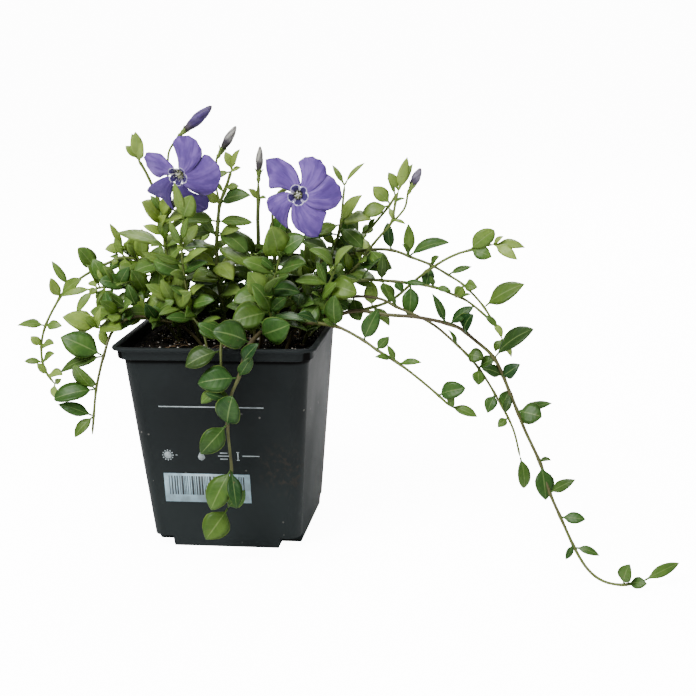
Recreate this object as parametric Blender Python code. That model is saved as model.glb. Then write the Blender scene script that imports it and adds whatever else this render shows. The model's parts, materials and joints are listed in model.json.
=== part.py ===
"""A lesser periwinkle in a square nursery pot: trailing leafy stems, two open flowers and buds.

Lengths are in millimetres until a mesh is made. X runs to the right along the pot's front,
Y to the back and Z up, from the centre of the pot's foot.
"""

import math
import random

import bmesh
import bpy
from mathutils import Matrix, Vector
from mathutils.bvhtree import BVHTree

MM = 0.001

# The pot: half widths of its square outline at each height
POT_HEIGHT = 94.2
BASE_HALF = 33.0
WALL_TOP_HALF = 40.8
BAND_HALF = 43.2
LIP_HALF = 45.0
BAND_HEIGHT = 5.9
LIP_THICK = 1.4
WALL = 1.3
FLOOR = 1.6
CORNER_RATIO = 0.17
CORNER_STEPS = 4
FOOT_CORNER = 9.6
FOOT_RISE = 5.0
DRAIN_RADIUS = 2.6

# The soil: its gap to the pot, its level and the roughness of its surface
GAP = 0.3
SOIL_LEVEL = 86.6
SOIL_ROUGHNESS = 0.9
ROOT_DEPTH = 10.0
ROOT_POINTS = 2
HOLE_ROOM = 0.4

# Stems and leaves
STEM_STEP = 12.5
STEM_TAPER = 0.4
CLEAR = 0.3
TRIES = 16
LEAF_RINGS = ((0.13, 0.10), (0.32, 0.86), (0.60, 1.0), (0.86, 0.56))
SMALL_RINGS = ((0.14, 0.12), (0.40, 0.96), (0.74, 0.78))
SMALL_WIDTH = 10.6
LEAF_THICK = 0.9
LEAF_BOW = 0.09

# Flowers
PETAL_RINGS = ((0.10, 0.24), (0.34, 0.52), (0.62, 0.90), (0.84, 1.0), (0.96, 0.74))
PETAL_THICK = 0.8
PETAL_TURN = -0.16
PETAL_SWING = 9.0
TUBE_LENGTH = 11.0
CALYX_LENGTH = 3.2
CALYX_RADIUS = 1.5
BUD_RINGS = ((0.16, 0.42), (0.42, 1.0), (0.68, 0.86), (0.90, 0.36))

# Colours, as linear red, green and blue
POT_BLACK = (0.035, 0.037, 0.039)
SOIL_BLACK = (0.022, 0.015, 0.011)
LEAF_GREEN = (0.085, 0.20, 0.028)
PETAL_VIOLET = (0.19, 0.13, 0.46)
BUD_GREY = (0.33, 0.29, 0.45)

# Each leafy stem: how thick it is, which way its leaves face, the points it runs through from
# the soil on, its leaves as (place along the points, reach x, y, z, width), and stretches that
# carry plain pairs of leaves as (from, to, number of pairs, length)
OPEN_FACE = (0.1, -0.6, 0.8)
FRONT_FACE = (0.2, -1.0, 0.35)

STEMS = {
    "runner_long": dict(
        thick=1.0,
        face=OPEN_FACE,
        route=[
            (30, 2, 88), (36, -5, 97), (47, -12, 101), (59, -16, 105), (72, -19, 104),
            (87, -20, 103), (103, -20, 99), (110, -21, 94), (119, -23, 86), (126, -26, 71),
            (132, -30, 57), (139, -35, 43), (143, -40, 32), (148, -45, 22), (154, -49, 10),
            (159, -53, 3.4), (165, -60, 1.5), (172, -63, 1.4), (178, -61, 1.6), (181, -60, 2),
        ],
        leaves=[
            (19, 14.5, 6, 6, 4), (17.2, 2, -1, 9, 7), (17.5, 7, -4, 2, 4),
            (13.9, 10, -2, -2, 3.2), (13.8, -3, -4, -5, 2.4), (12.9, 10, -2, 0, 4),
            (12, 10, -3, 7, 3.5), (11, 2, -4, -14, 7), (10.9, 5, -2, 1, 2),
            (9.5, 10, -4, -1, 9), (9.5, 14, 2, 3, 3.5), (9.0, -2, -3, -7, 3),
            (8.5, -8, -2, 4, 5), (8.5, 7, -4, 6, 6), (8.0, 16, -3, 13, 9),
            (6.5, 3, -5, 9, 8), (5.8, 10, -1, 8, 5.5), (5.7, -5, -2, 13, 3),
        ],
        pairs=[],
    ),
    "runner_green": dict(
        thick=0.9,
        face=OPEN_FACE,
        route=[
            (23, -4, 88), (34, -8, 101), (46, -9, 108), (58, -9.5, 110), (69, -10, 109),
            (76, -12, 106), (89, -15.5, 101), (97, -18, 96), (111, -19, 82), (121, -20, 66),
            (127, -21, 54), (130, -22, 42),
        ],
        leaves=[
            (11, 2, -3, -13, 6), (9.6, -4, -3, -3, 3.5), (9.2, 3, 2, 7, 4),
            (8.8, -3, -4, -7, 4), (8.1, 7, -3, 5, 5), (8.1, 0, -4, -6, 4), (7.7, 7, -4, 0, 6),
            (7.4, -3, -2, 7, 2), (5.0, -3, -2, 7, 1.8), (2.9, 2, -7, -9, 8), (2.9, -6, -4, 8, 6),
        ],
        pairs=[(1.0, 2.0, 2, 13)],
    ),
    "runner_upper": dict(
        thick=0.9,
        face=OPEN_FACE,
        route=[
            (20, 10, 88), (30, 12, 108), (45, 12, 122), (60, 10, 127), (72, 8, 127.5),
            (82, 5, 124.5), (90, 2, 122), (98, -1, 118), (105, -4, 114), (114, -8, 105),
            (122, -12, 92),
        ],
        leaves=[
            (9, 17, -2, 10, 9.5), (10, 4, -3, -7, 3), (10, -3, -2, -5, 3),
            (8, 6, -4, 0, 5), (8, -4, -4, -4, 4), (7, 10, -2, 4, 2.6),
            (6, -2, -4, -9, 4.5), (6, 4, -2, 4, 4), (4.8, 17, -3, 7, 7.5), (4.8, 0, 0, 14, 4),
            (4.8, -2, -4, 6, 3), (4.0, -3, -3, 12, 5.5), (3.2, 4, -6, -8, 6),
            (2.6, -5, -4, 9, 6),
        ],
        pairs=[(1.2, 2.2, 2, 14)],
    ),
    "runner_arching": dict(
        thick=0.9,
        face=OPEN_FACE,
        route=[
            (34, 6, 88), (44, 6, 97), (58, 3, 101), (72, 1, 106), (85, -2, 117), (96, -5, 125),
            (103, -6, 128.5), (108, -6.5, 130), (114, -7, 132), (118, -7.5, 132.5),
        ],
        leaves=[
            (7, 10, -1, 8.5, 7), (7, 9, -4, -2, 5), (9, 13, -1, -1, 5), (9, 10, -6, -5, 4),
            (9, 4, -2, 4, 2.6),
        ],
        pairs=[(1.2, 2.4, 2, 13)],
    ),
    "runner_pale": dict(
        thick=0.9,
        face=OPEN_FACE,
        route=[
            (22, -10, 88), (31, -9, 103), (42, -5, 112), (51, -3, 114.5), (60, -3, 116),
            (75, -6, 116), (92, -8, 114), (100, -8.5, 111), (107, -9.5, 108), (118, -11, 99),
        ],
        leaves=[
            (9, 4, -3, -5, 2.4), (8.6, 6, -2, -5, 2.6), (7.5, 5, -3, 2, 1.8),
            (6.1, 7, -3, -1, 2.2), (6.0, -1, -2, 5, 2), (5.4, 0, -5, -13, 6.5),
            (5.2, 10, -4, 0, 2.8), (5.0, 3, -3, -4, 3), (4.6, 1, -3, 12, 3.6),
            (4.6, 4, -6, -8, 6), (4.0, 11, -3, 11, 9.5), (4.0, -11, -5, -1, 5.5),
            (3.2, -6, -6, 8, 7),
        ],
        pairs=[(1.1, 2.2, 2, 14)],
    ),
    "runner_low": dict(
        thick=0.9,
        face=OPEN_FACE,
        route=[
            (28, -20, 88), (33, -21, 98), (40, -24, 101), (49, -29, 101.5), (55, -33, 101),
            (65, -38, 97), (71, -42, 94), (79, -45, 90), (87, -48, 85), (96, -50, 78),
            (102, -52, 73),
        ],
        leaves=[
            (10, 11, -3, -3.5, 3.6), (10, 2, -3, 5, 3), (9.2, 11, -3, 4, 7.5),
            (7, -3, -1, 7, 2.4), (7.2, 9, -4, 2, 3), (6.8, -6, -4, 2, 2.4), (6, 5, -2, 6, 3),
            (5, 6, -3, 13, 6.5), (3.6, 0, -3, 14, 8), (3.4, -4, -3, 4, 3), (2.4, -7, -7, 6, 6),
        ],
        pairs=[],
    ),
    "trail_left_far": dict(
        thick=0.9,
        face=(-0.1, -0.6, 0.8),
        route=[
            (-18, 12, 88), (-24, 13, 102), (-33, 14, 114), (-42, 14, 120), (-53, 12, 123.5),
            (-61, 10, 121), (-71, 8, 116), (-80, 5, 109.5), (-84, 3.5, 104), (-89, 0, 94),
            (-91, -2, 86), (-91, -3, 78), (-89, -4, 72), (-85, -5, 67),
        ],
        leaves=[
            (13, 0, -2, -6, 3), (13, 4, -2, 3, 2.4), (12.2, -4, -2, 6, 3), (12.2, 8, -3, 1, 4),
            (11.2, 7, -3, 5, 4), (11.2, -8, -2, 1, 3), (10.2, -4, -2, 5, 3.2),
            (10.2, 7, -3, 2, 4.4), (9.05, -12, -3, 1, 4.8), (9.05, 9, -3, 0.5, 4.4),
            (7.6, 12, -4, 9, 6.5), (7.6, -3, -3, 9, 5.4), (6.8, -7, -1, 12, 3.2),
            (5.5, -7, -2, 10, 7.5), (5.2, 3, -4, -8, 5), (4.0, -4, 0, 9, 3), (4.0, 2, -5, -8, 6),
        ],
        pairs=[(1.2, 3.2, 4, 14)],
    ),
    "trail_left_near": dict(
        thick=0.9,
        face=(-0.3, -0.9, 0.5),
        route=[
            (-12, -12, 88), (-20, -14, 97), (-28, -16, 100), (-40, -20, 102.5),
            (-47.8, -26, 98), (-50.5, -34, 88), (-52, -38, 80), (-53, -40, 74),
            (-54, -42, 64), (-55, -43, 55),
        ],
        leaves=[
            (5.0, -17, -3, 9, 11), (5.0, -18, -5, -5, 8), (6.9, -6, -6, 12.5, 9.5),
            (6.9, -17, -5, -3, 8.5), (8.1, -14, -3, 6, 4.4), (8.1, -7, -5, -8, 5.5),
            (2.2, -3, -6, 9, 5),
        ],
        pairs=[],
    ),
    "spray_left": dict(
        thick=0.9,
        face=(-0.1, -0.8, 0.6),
        route=[(-24, -6, 88), (-32, -9, 100), (-42, -13, 105), (-50, -19, 102.5), (-56, -22, 97.5)],
        leaves=[
            (4, -14, -5, 6, 9.5), (4, 13, -8, 1, 9), (4, -5, -4, 6, 3.5), (4, 2.5, -2.5, 10, 3),
            (3, -5, 6, 10, 6), (2.4, 5, -9, 6, 7), (2.2, -11, 2.5, 7.5, 6), (1.2, -10, -7.5, 2.5, 7),
            (1.2, 10, -5, 7.5, 7),
        ],
        pairs=[(0.8, 2.8, 3, 12)],
    ),
    "spray_left_upper": dict(
        thick=0.9,
        face=OPEN_FACE,
        route=[
            (-16, 2, 88), (-24, 0, 100), (-36, -3, 108), (-47, -4, 112), (-57, -5, 113),
            (-63, -5, 112),
        ],
        leaves=[
            (5, -14, -2.5, -2.5, 3.5), (4.9, -7.5, -5, -11, 4), (4.5, -4, -2.5, 11, 3),
            (4.1, 1, -6, -11, 5), (4, -5, 0, 12.5, 6), (3.4, 6, -5, 10, 5), (3, -11, -5, 5, 7),
            (3, 9, -7.5, -5, 7), (2.2, -5, -6, 12.5, 7), (2.2, 7.5, -7.5, -7.5, 8.5),
        ],
        pairs=[(0.9, 3.6, 4, 13.5)],
    ),
    "spray_left_back": dict(
        thick=0.9,
        face=OPEN_FACE,
        route=[(-26, 20, 88), (-32, 20, 103), (-42, 20, 114), (-50, 19, 121), (-55, 18, 126)],
        leaves=[
            (4, -5, -2.5, 12.5, 2.5), (4, -7.5, -4, 1, 5), (3.4, 5, -5, 11, 7), (3.2, -10, -5, -4, 7),
            (2.6, -12.5, 0, 9, 8.5),
        ],
        pairs=[(1.0, 2.0, 2, 16)],
    ),
    "shoot_left": dict(
        thick=1.0,
        face=OPEN_FACE,
        route=[
            (-26, 2, 88), (-27, 3, 102), (-28.5, 3, 116), (-30, 2, 130), (-30.5, 2, 140),
            (-31, 1.5, 148), (-33.5, 1, 156), (-37, 0, 165), (-39.5, -1, 170),
        ],
        leaves=[
            (8, -5, -1, 6, 3), (8, -2.5, 1, 11, 3.5), (8, 0.5, -3, 12, 5),
            (7.8, 3, -3, 9, 3), (4.7, -4, -1, 8, 3), (4.4, 6, -6, 10, 6), (4, -7.5, -6, 11, 10),
            (4, 12.5, -7.5, 6, 9.5), (3, -21, -3, 6, 9.5), (3, 13.5, -8, 4.5, 8.5),
            (2.4, -12.5, -10, -2.5, 9.5), (2.4, 8, -10, 10, 8.5), (1.6, -10, -11, 6.5, 9.5),
            (1.6, 11, -10, 5, 9.5), (1, 6, -15, 3.5, 9.5), (3.2, -0.5, -3.5, 14, 3.2),
            (3.2, 3, -4, 12, 3),
        ],
        pairs=[(1.2, 1.2, 1, 13)],
    ),
    "shoot_middle": dict(
        thick=1.0,
        face=OPEN_FACE,
        route=[
            (-4, 2, 88), (-5, 2, 102), (-6, 1, 116), (-6, 0, 130), (-4.5, -1, 142),
            (-3, -2, 150), (0, -2, 157), (3, -2, 165),
        ],
        leaves=[
            (7, -2, -1, 8, 3), (7, 4.5, -2, 9, 3.5), (6.9, -7, -2, -2, 2.5), (6.9, 5, -2, 2, 2),
            (6, 6.5, -2, 1, 2.5), (5.7, -4, -2, 6, 2), (5, 14, -5, 5, 7), (5, -6, -5, 6, 3.5),
            (4, -16, -5, 1, 6.5), (4, 16, -4, 0, 5.5), (3.6, -14, 5, -2.5, 7),
            (3.6, 14, -6, -7, 9), (3, -16, -5, 0, 9.5), (3, 16, -9, -5, 10),
            (2.5, 9, -12, -4, 9), (2, -15, -7, 0, 8), (2, -7.5, -14.5, 2.5, 9),
            (1.4, 11, -11, 5, 8.5), (1.2, -11, -9, 6, 8.5),
        ],
        pairs=[(0.7, 1.7, 2, 13)],
    ),
    "bud_stalk": dict(
        thick=0.8,
        face=OPEN_FACE,
        route=[
            (6, 10, 88), (8.5, 10, 104), (10.5, 8, 120), (12, 6, 133), (12.6, 4, 143),
            (13.2, 4, 151), (13.5, 4, 158.5),
        ],
        leaves=[
            (5, -4, -1, 5, 3), (5, 4, -2, 1, 3), (2.4, -10, -6, 11, 7), (2.4, 11, -9, 6, 9.5),
            (1.6, 10, -7.5, 7.5, 8.5), (1.6, -10, -5, 6, 8.5),
        ],
        pairs=[(0.7, 1.3, 2, 12)],
    ),
    "flower_stalk": dict(
        thick=0.8,
        face=OPEN_FACE,
        route=[
            (12, 3, 88), (16, 4, 104), (18.5, 7, 120), (19.5, 9, 135), (20, 10, 146),
            (22.5, 10, 153), (27, 8, 156),
        ],
        leaves=[
            (2, -11.5, -9.5, 7, 10), (2, 12, -10, 2, 10), (2.6, 7, -6, 14, 9),
            (1.4, -11, -11, 4, 9), (1.4, 10, -10, 8, 9),
        ],
        pairs=[(0.7, 1.2, 2, 12)],
    ),
    "shoot_centre_right": dict(
        thick=0.9,
        face=OPEN_FACE,
        route=[
            (12, 18, 88), (22, 18, 104), (36, 16, 118), (44, 14, 124), (47, 13, 132),
            (49, 12, 140), (50, 12, 148), (51, 12, 156),
        ],
        leaves=[
            (7, 9, -2, 10, 2), (7, -5, 0, 9, 2), (4.9, 10, -4, 12.5, 5), (4.9, 14, -6, 2.5, 10),
            (4.6, 11, -9, -7.5, 8.5), (4.8, -10, -4, -4, 5.5), (4.2, -15, -5, 0, 5.5),
            (3.2, 10, -10, 7.5, 7), (3, -11, -7.5, 7.5, 9.5),
        ],
        pairs=[(1.2, 2.5, 3, 16.5)],
    ),
    "shoot_right": dict(
        thick=0.9,
        face=OPEN_FACE,
        route=[
            (18, 26, 88), (28, 26, 108), (42, 23, 124), (54, 19, 131), (60, 17, 134.5),
            (66, 14, 141), (71, 12, 147), (75, 11, 153),
        ],
        leaves=[
            (6.1, -7, -2, 8, 4.5), (6, -12, -3, -4, 5), (6.7, -3, -1, 8, 2),
            (5.9, 3, -2, -6, 2), (4.1, 4, -5, 6, 2.5), (3.4, -10, -4, 10, 6),
        ],
        pairs=[(1.2, 2.6, 2, 16.5)],
    ),
    "shoot_right_tall": dict(
        thick=0.9,
        face=OPEN_FACE,
        route=[
            (28, 15, 88), (36, 15, 104), (47, 6, 113), (57, 5, 121), (62, 6, 128),
            (68, 4, 135), (73, 2, 141), (75, 1, 150), (76.5, 0, 155),
        ],
        leaves=[
            (8, -4, -1, 8, 3), (8, 4, -2, 14, 4.5), (8, 6, 2, 11, 3), (7, 4, -2, 2, 1.5),
            (6.1, 6, -3, -1, 2), (4, 9, -7.5, -7.5, 7), (3, 14, -9, 1, 9),
        ],
        pairs=[(1.2, 2.4, 2, 16.5)],
    ),
    "cascade_front": dict(
        thick=1.0,
        face=FRONT_FACE,
        route=[
            (17, -25, 88), (20, -32, 98), (20, -40, 99.5), (16.5, -47.2, 95), (13.5, -50, 84),
            (10.5, -52.5, 77), (8.5, -53, 70), (8, -52, 60), (8, -50, 50), (8, -49, 42),
            (6.5, -47.5, 32), (5, -46, 24),
        ],
        leaves=[
            (11, 8, -5, 9, 7.5), (11, -9, -5, -12.5, 11), (8.9, -8, -6, -16, 10),
            (9.0, 3.5, -9, -13, 7.5), (6.7, 4, -6, 14, 10.5), (6.6, -11, -4, -12, 9),
            (5.4, -9, -4, 4, 3), (4.1, -16, -4, -1, 10.5), (4.0, 6, -4, 9, 6),
            (2.6, -13.5, -7, 7, 12), (3.5, 7.5, -5, 9, 6), (1.4, 14, -7, 6, 11),
        ],
        pairs=[],
    ),
    "cascade_short": dict(
        thick=0.8,
        face=FRONT_FACE,
        route=[
            (3, -20, 88), (4, -28, 97), (5, -38, 100), (5.5, -46.8, 96), (5.5, -48.6, 87),
            (4.5, -48.8, 79),
        ],
        leaves=[
            (3.2, -14, -4, -6, 10), (5, -7, -4, -6, 4), (5, 3, -2.5, -8, 3.4),
            (1.2, -11, -4, 2, 7), (2.4, -9, -4, 7, 6),
        ],
        pairs=[],
    ),
    "sprig_front": dict(
        thick=0.8,
        face=OPEN_FACE,
        route=[(-8, -18, 88), (-11, -15, 96), (-17, -12, 102), (-23.5, -10, 105.5)],
        leaves=[
            (3, 10.5, -2, 21, 5.5), (3, 9, -5, 9, 8), (2.2, 14, -4, 8, 7), (3, -13, -3, 3, 3.2),
            (3, -12, -3, 10, 5), (3, -5, -3, 12, 5), (2, -9, -5, 0, 5.5), (1.2, 11, -4, 4, 6),
        ],
        pairs=[],
    ),
    "sprig_bright": dict(
        thick=0.8,
        face=FRONT_FACE,
        route=[(-14, -8, 88), (-16, -12, 104), (-17.5, -15, 120), (-17.5, -16.5, 133), (-16, -17, 145.5)],
        leaves=[
            (4, 5, -3, 10.5, 7.5), (4, -1.5, -5, 16, 3.2), (3.2, 4, -3, 11, 3), (3, -4, -3, 12, 3),
            (2.1, 12, -4, 5, 7), (2.1, -12, -3, 6, 7), (1.1, 12, -5, 4, 7), (1.1, -11, -5, 5, 7),
        ],
        pairs=[],
    ),
    "tuft_centre": dict(
        thick=0.9,
        face=OPEN_FACE,
        route=[(12, -14, 88), (15, -16, 100), (20, -16, 112), (24, -15, 122), (26, -14, 131)],
        leaves=[
            (3.6, -2, -6, 15, 12), (3.9, 10, -3, 9, 9), (2.8, 15, -6, 6, 10),
            (2.8, -12, -5, 8, 8), (2.1, 14, -6, 2, 9), (2.1, -14, -6, -3, 9),
            (1.2, -13, -6, 5, 8), (1.2, 12, -6, 3, 8),
        ],
        pairs=[(0.6, 1.6, 2, 12)],
    ),
    "tuft_front": dict(
        thick=0.9,
        face=OPEN_FACE,
        route=[(24, -18, 88), (24, -22, 97), (22.5, -24, 105), (21.5, -24, 112)],
        leaves=[
            (3, 7, -5, 10, 8), (3, -7, -4, 12, 9), (2.0, -5, -6, 14, 12), (2.1, -15, -6, -3, 12),
            (1.9, 15, -4, -2, 8), (1.0, 14, -6, 3, 8),
        ],
        pairs=[],
    ),
    "tuft_back_left": dict(
        thick=0.9,
        face=OPEN_FACE,
        route=[(-12, 12, 88), (-13, 14, 98), (-15, 14, 108), (-15, 13, 119)],
        leaves=[(3, -8, -5, 9, 8), (3, 7, -6, 10, 8), (2.0, 10, -6, -2, 9), (1.2, -9, -9, 5, 9)],
        pairs=[(0.8, 2.4, 2, 16.5)],
    ),
    "tuft_back_middle": dict(
        thick=0.9,
        face=OPEN_FACE,
        route=[(1, 16, 88), (2, 18, 98), (4, 18, 108), (5, 17, 118)],
        leaves=[(3, -9, -6, 7, 8), (3, 9, -6, 8, 8), (2.0, -11, -7, -2, 9), (1.1, 10, -9, 3, 9)],
        pairs=[(0.8, 2.4, 2, 16.5)],
    ),
    "tuft_right": dict(
        thick=0.9,
        face=OPEN_FACE,
        route=[(34, -12, 88), (39, -14, 99), (43, -15, 108), (47, -16, 116), (50, -16, 123)],
        leaves=[
            (4, 7.5, -5, 11, 7), (4, -9, -4, 10, 8.5), (3, 12.5, -7.5, -1, 9.5), (3, -12.5, -6, 4, 7),
            (2, 9, -7.5, 10, 7), (2, -5, -10, -7.5, 8.5),
        ],
        pairs=[(0.6, 1.5, 2, 12)],
    ),
    "back_trail_left": dict(
        thick=0.9,
        face=(0.0, 0.9, 0.6),
        route=[
            (-26, 28, 88), (-30, 36, 100), (-31, 47, 99), (-33, 53, 88), (-35, 55, 72),
            (-34, 55, 56), (-32, 54, 44),
        ],
        leaves=[],
        pairs=[(1.0, 6.0, 4, 17)],
    ),
    "back_trail_middle": dict(
        thick=0.9,
        face=(0.0, 0.9, 0.6),
        route=[(-2, 30, 88), (-3, 38, 101), (-5, 47, 99), (-6, 52, 86), (-8, 53, 70), (-9, 52, 58)],
        leaves=[],
        pairs=[(1.0, 5.0, 4, 16.5)],
    ),
    "back_trail_right": dict(
        thick=0.9,
        face=(0.2, 0.9, 0.6),
        route=[
            (26, 28, 88), (25, 38, 102), (22, 48, 100), (21, 54, 88), (19, 56, 72), (16, 56, 56),
            (14, 54, 38), (15, 55, 26),
        ],
        leaves=[],
        pairs=[(1.0, 7.0, 5, 17)],
    ),
    "back_shoot_left": dict(
        thick=0.9,
        face=(0.0, 0.4, 0.9),
        route=[(-14, 24, 88), (-17, 29, 102), (-21, 34, 114), (-24, 37, 124)],
        leaves=[],
        pairs=[(0.8, 3.0, 3, 17)],
    ),
    "back_shoot_middle": dict(
        thick=0.9,
        face=(0.0, 0.4, 0.9),
        route=[(8, 26, 88), (9, 31, 103), (12, 35, 116), (16, 37, 126)],
        leaves=[],
        pairs=[(0.8, 3.0, 3, 17)],
    ),
    "back_shoot_right": dict(
        thick=0.9,
        face=(0.1, 0.4, 0.9),
        route=[(32, 20, 88), (38, 28, 101), (46, 34, 111), (54, 38, 118)],
        leaves=[],
        pairs=[(0.9, 3.0, 3, 17)],
    ),
}

# Each bloom: the stem it grows from, the place there, its stalk's further points, the way it
# opens, and a bud's length and width; a bud with no further points sits on the stem's own tip.
# An open flower has five petals, each with the angle of its tip, seen from the front, its length
# and its width
BLOOMS = {
    "flower_front": dict(
        stem="flower_stalk", at=6, route=[(31.4, 4, 153.9), (32.5, 1.6, 153.4)],
        aim=(0.12, -0.97, 0.12),
        petals=[
            (61.5, 17.4, 16.5), (3.5, 18.2, 19), (-66, 19, 19), (219, 14.8, 17), (131, 18.4, 17.5),
        ],
    ),
    "flower_left": dict(
        stem="shoot_left", at=4.8,
        route=[(-25, 6, 158), (-18, 6, 166.5), (-14.8, 1, 169), (-15, -2.4, 168.2)],
        aim=(-0.20, -0.93, -0.28),
        petals=[(65, 19, 17), (-3, 19, 20.5), (158, 16, 14.5), (222, 15.5, 14), (-68, 19.4, 16)],
    ),
    "bud_tallest": dict(
        stem="shoot_left", at=4.6,
        route=[(-29.3, 4, 153), (-27.8, 4.5, 163), (-26.8, 4.5, 172.5), (-22, 3, 179.2)],
        aim=(0.77, -0.1, 0.63), bud=(18.7, 5.2),
    ),
    "bud_second": dict(
        stem="shoot_middle", at=5, route=[(-5.8, 3, 160), (-4.7, 3, 169.4)], aim=(0.55, 0, 0.84),
        bud=(14.2, 4.3),
    ),
    "bud_pale": dict(stem="bud_stalk", at=6, route=[], aim=(0.09, 0, 1.0), bud=(13.3, 3.9)),
    "bud_right": dict(
        stem="shoot_right_tall", at=5.8, route=[(76, 3, 143.5), (79, 3, 147.5), (80.3, 2, 153)],
        aim=(0.45, -0.1, 0.89), bud=(10.2, 4.3),
    ),
    "bud_small": dict(
        stem="shoot_left", at=4.3, route=[(-27.2, -0.9, 145.1)], aim=(0.5, -0.27, 0.82),
        bud=(8.0, 3.0),
    ),
}


def finish(name, colour, roughness):
    """A plain material of one colour."""
    material = bpy.data.materials.new(name)
    material.use_nodes = True
    shader = material.node_tree.nodes["Principled BSDF"]
    shader.inputs["Base Color"].default_value = (*colour, 1.0)
    shader.inputs["Roughness"].default_value = roughness
    shader.inputs["Metallic"].default_value = 0.0
    return material


def object_from(bm, name, collection, material=None):
    """An object of this mesh, whose millimetres become metres."""
    bm.transform(Matrix.Scale(MM, 4))
    mesh = bpy.data.meshes.new(name)
    bm.to_mesh(mesh)
    bm.free()
    made = bpy.data.objects.new(name, mesh)
    collection.objects.link(made)
    if material:
        mesh.materials.append(material)
    return made


def as_helper(made):
    """Marks an object as a cutter or a joined piece, which is no part of the model."""
    made.hide_render = True
    made.display_type = "WIRE"


def boolean(target, operation, other=None, collection=None, solver="EXACT"):
    """Adds a Boolean modifier with one object or a whole collection."""
    modifier = target.modifiers.new("Boolean", "BOOLEAN")
    modifier.operation = operation
    modifier.solver = solver
    if collection:
        modifier.operand_type = "COLLECTION"
        modifier.collection = collection
    else:
        modifier.object = other


def apply_modifiers(made):
    """Turns the object's modifiers into its mesh."""
    graph = bpy.context.evaluated_depsgraph_get()
    mesh = bpy.data.meshes.new_from_object(made.evaluated_get(graph))
    made.modifiers.clear()
    made.data = mesh


# The pot and its soil


def corner_place(number, half, radius):
    """The place of one of the numbered points round a square with round corners."""
    corner, step = divmod(number, CORNER_STEPS + 1)
    turn = math.radians(90) * (corner + step / CORNER_STEPS)
    centre = Matrix.Rotation(math.radians(90) * corner, 2) @ Vector((1, 1)) * (half - radius)
    return centre + Vector((math.cos(turn), math.sin(turn))) * radius


def square_block(rings, roughness=0.0):
    """A closed solid through square outlines with round corners, as (half width, height)."""
    rng = random.Random("soil surface")
    bm = bmesh.new()
    number = bm.verts.layers.int.new("number")
    circle = bmesh.ops.create_circle(bm, cap_ends=True, segments=4 * (CORNER_STEPS + 1), radius=1)
    for index, vert in enumerate(circle["verts"]):
        vert[number] = index
    cap = bm.faces[:][0]
    for index, (half, height) in enumerate(rings):
        if index:
            grown = bmesh.ops.extrude_face_region(bm, geom=[cap])
            if index > 1:
                bm.faces.remove(cap)
            cap = next(item for item in grown["geom"] if isinstance(item, bmesh.types.BMFace))
        for vert in cap.verts:
            place = corner_place(vert[number], half, half * CORNER_RATIO)
            lift = rng.uniform(-roughness, roughness) if index > 1 else 0.0
            vert.co = (place.x, place.y, height + lift)
    bmesh.ops.recalc_face_normals(bm, faces=bm.faces[:])
    return bm


def corner_blocks(reach, rise, slant, collection):
    """Four blocks that lift a square foot at its corners."""
    for turn in range(4):
        bm = bmesh.new()
        made = bmesh.ops.create_cube(bm, size=1)
        for vert in made["verts"]:
            inner = vert.co.x < 0
            near = vert.co.y < 0
            top = vert.co.z > 0
            vert.co.x = BASE_HALF - reach + (slant if top else 0) if inner else BASE_HALF + 9
            vert.co.y = BASE_HALF - reach + (slant if top else 0) if near else BASE_HALF + 9
            vert.co.z = rise if top else -2.0
        bm.transform(Matrix.Rotation(math.radians(90) * turn, 4, "Z"))
        as_helper(object_from(bm, f"foot_corner_{rise}_{turn}", collection))


def build_pot(parts, cutters, material):
    """The square pot: a tapered shell with a band, a lip and four lifted foot corners."""
    band_foot = POT_HEIGHT - BAND_HEIGHT
    lip_foot = POT_HEIGHT - LIP_THICK
    outer = [
        (BASE_HALF - 1.2, 0.0), (BASE_HALF, 1.2), (WALL_TOP_HALF, band_foot),
        (BAND_HALF - 0.3, band_foot + 0.3), (BAND_HALF, lip_foot - 0.5), (LIP_HALF - 0.5, lip_foot),
        (LIP_HALF, POT_HEIGHT - 0.6), (LIP_HALF - 0.6, POT_HEIGHT),
    ]
    pot = object_from(square_block(outer), "pot", parts, material)
    hollow = object_from(square_block(hollow_rings(0.0)), "pot_hollow", cutters)
    as_helper(hollow)
    lifts = bpy.data.collections.new("foot_lifts")
    cutters.children.link(lifts)
    corner_blocks(FOOT_CORNER, FOOT_RISE, 0.8, lifts)
    inner_lifts = bpy.data.collections.new("inner_lifts")
    cutters.children.link(inner_lifts)
    corner_blocks(FOOT_CORNER + WALL, FOOT_RISE + FLOOR, 0.8, inner_lifts)
    boolean(hollow, "DIFFERENCE", collection=inner_lifts)
    boolean(pot, "DIFFERENCE", collection=lifts)
    boolean(pot, "DIFFERENCE", other=hollow)
    drains = bpy.data.collections.new("drains")
    cutters.children.link(drains)
    for turn in range(4):
        bm = bmesh.new()
        bmesh.ops.create_cone(
            bm, cap_ends=True, segments=8, radius1=DRAIN_RADIUS, radius2=DRAIN_RADIUS, depth=6
        )
        side = BASE_HALF - FOOT_CORNER / 2 - 0.5
        bm.transform(Matrix.Translation((side, side, FOOT_RISE)))
        bm.transform(Matrix.Rotation(math.radians(90) * turn, 4, "Z"))
        as_helper(object_from(bm, f"drain_{turn}", drains))
    boolean(pot, "DIFFERENCE", collection=drains)
    apply_modifiers(pot)
    return pot


def hollow_rings(gap):
    """The rings of the space inside the pot, made smaller by a gap on every side."""
    band_foot = POT_HEIGHT - BAND_HEIGHT
    return [
        (BASE_HALF - WALL - gap, FLOOR + gap), (WALL_TOP_HALF - WALL - gap, band_foot - 0.6),
        (BAND_HALF - WALL, band_foot + 0.8), (BAND_HALF - WALL + 0.4, POT_HEIGHT + 3.0),
    ]


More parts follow.
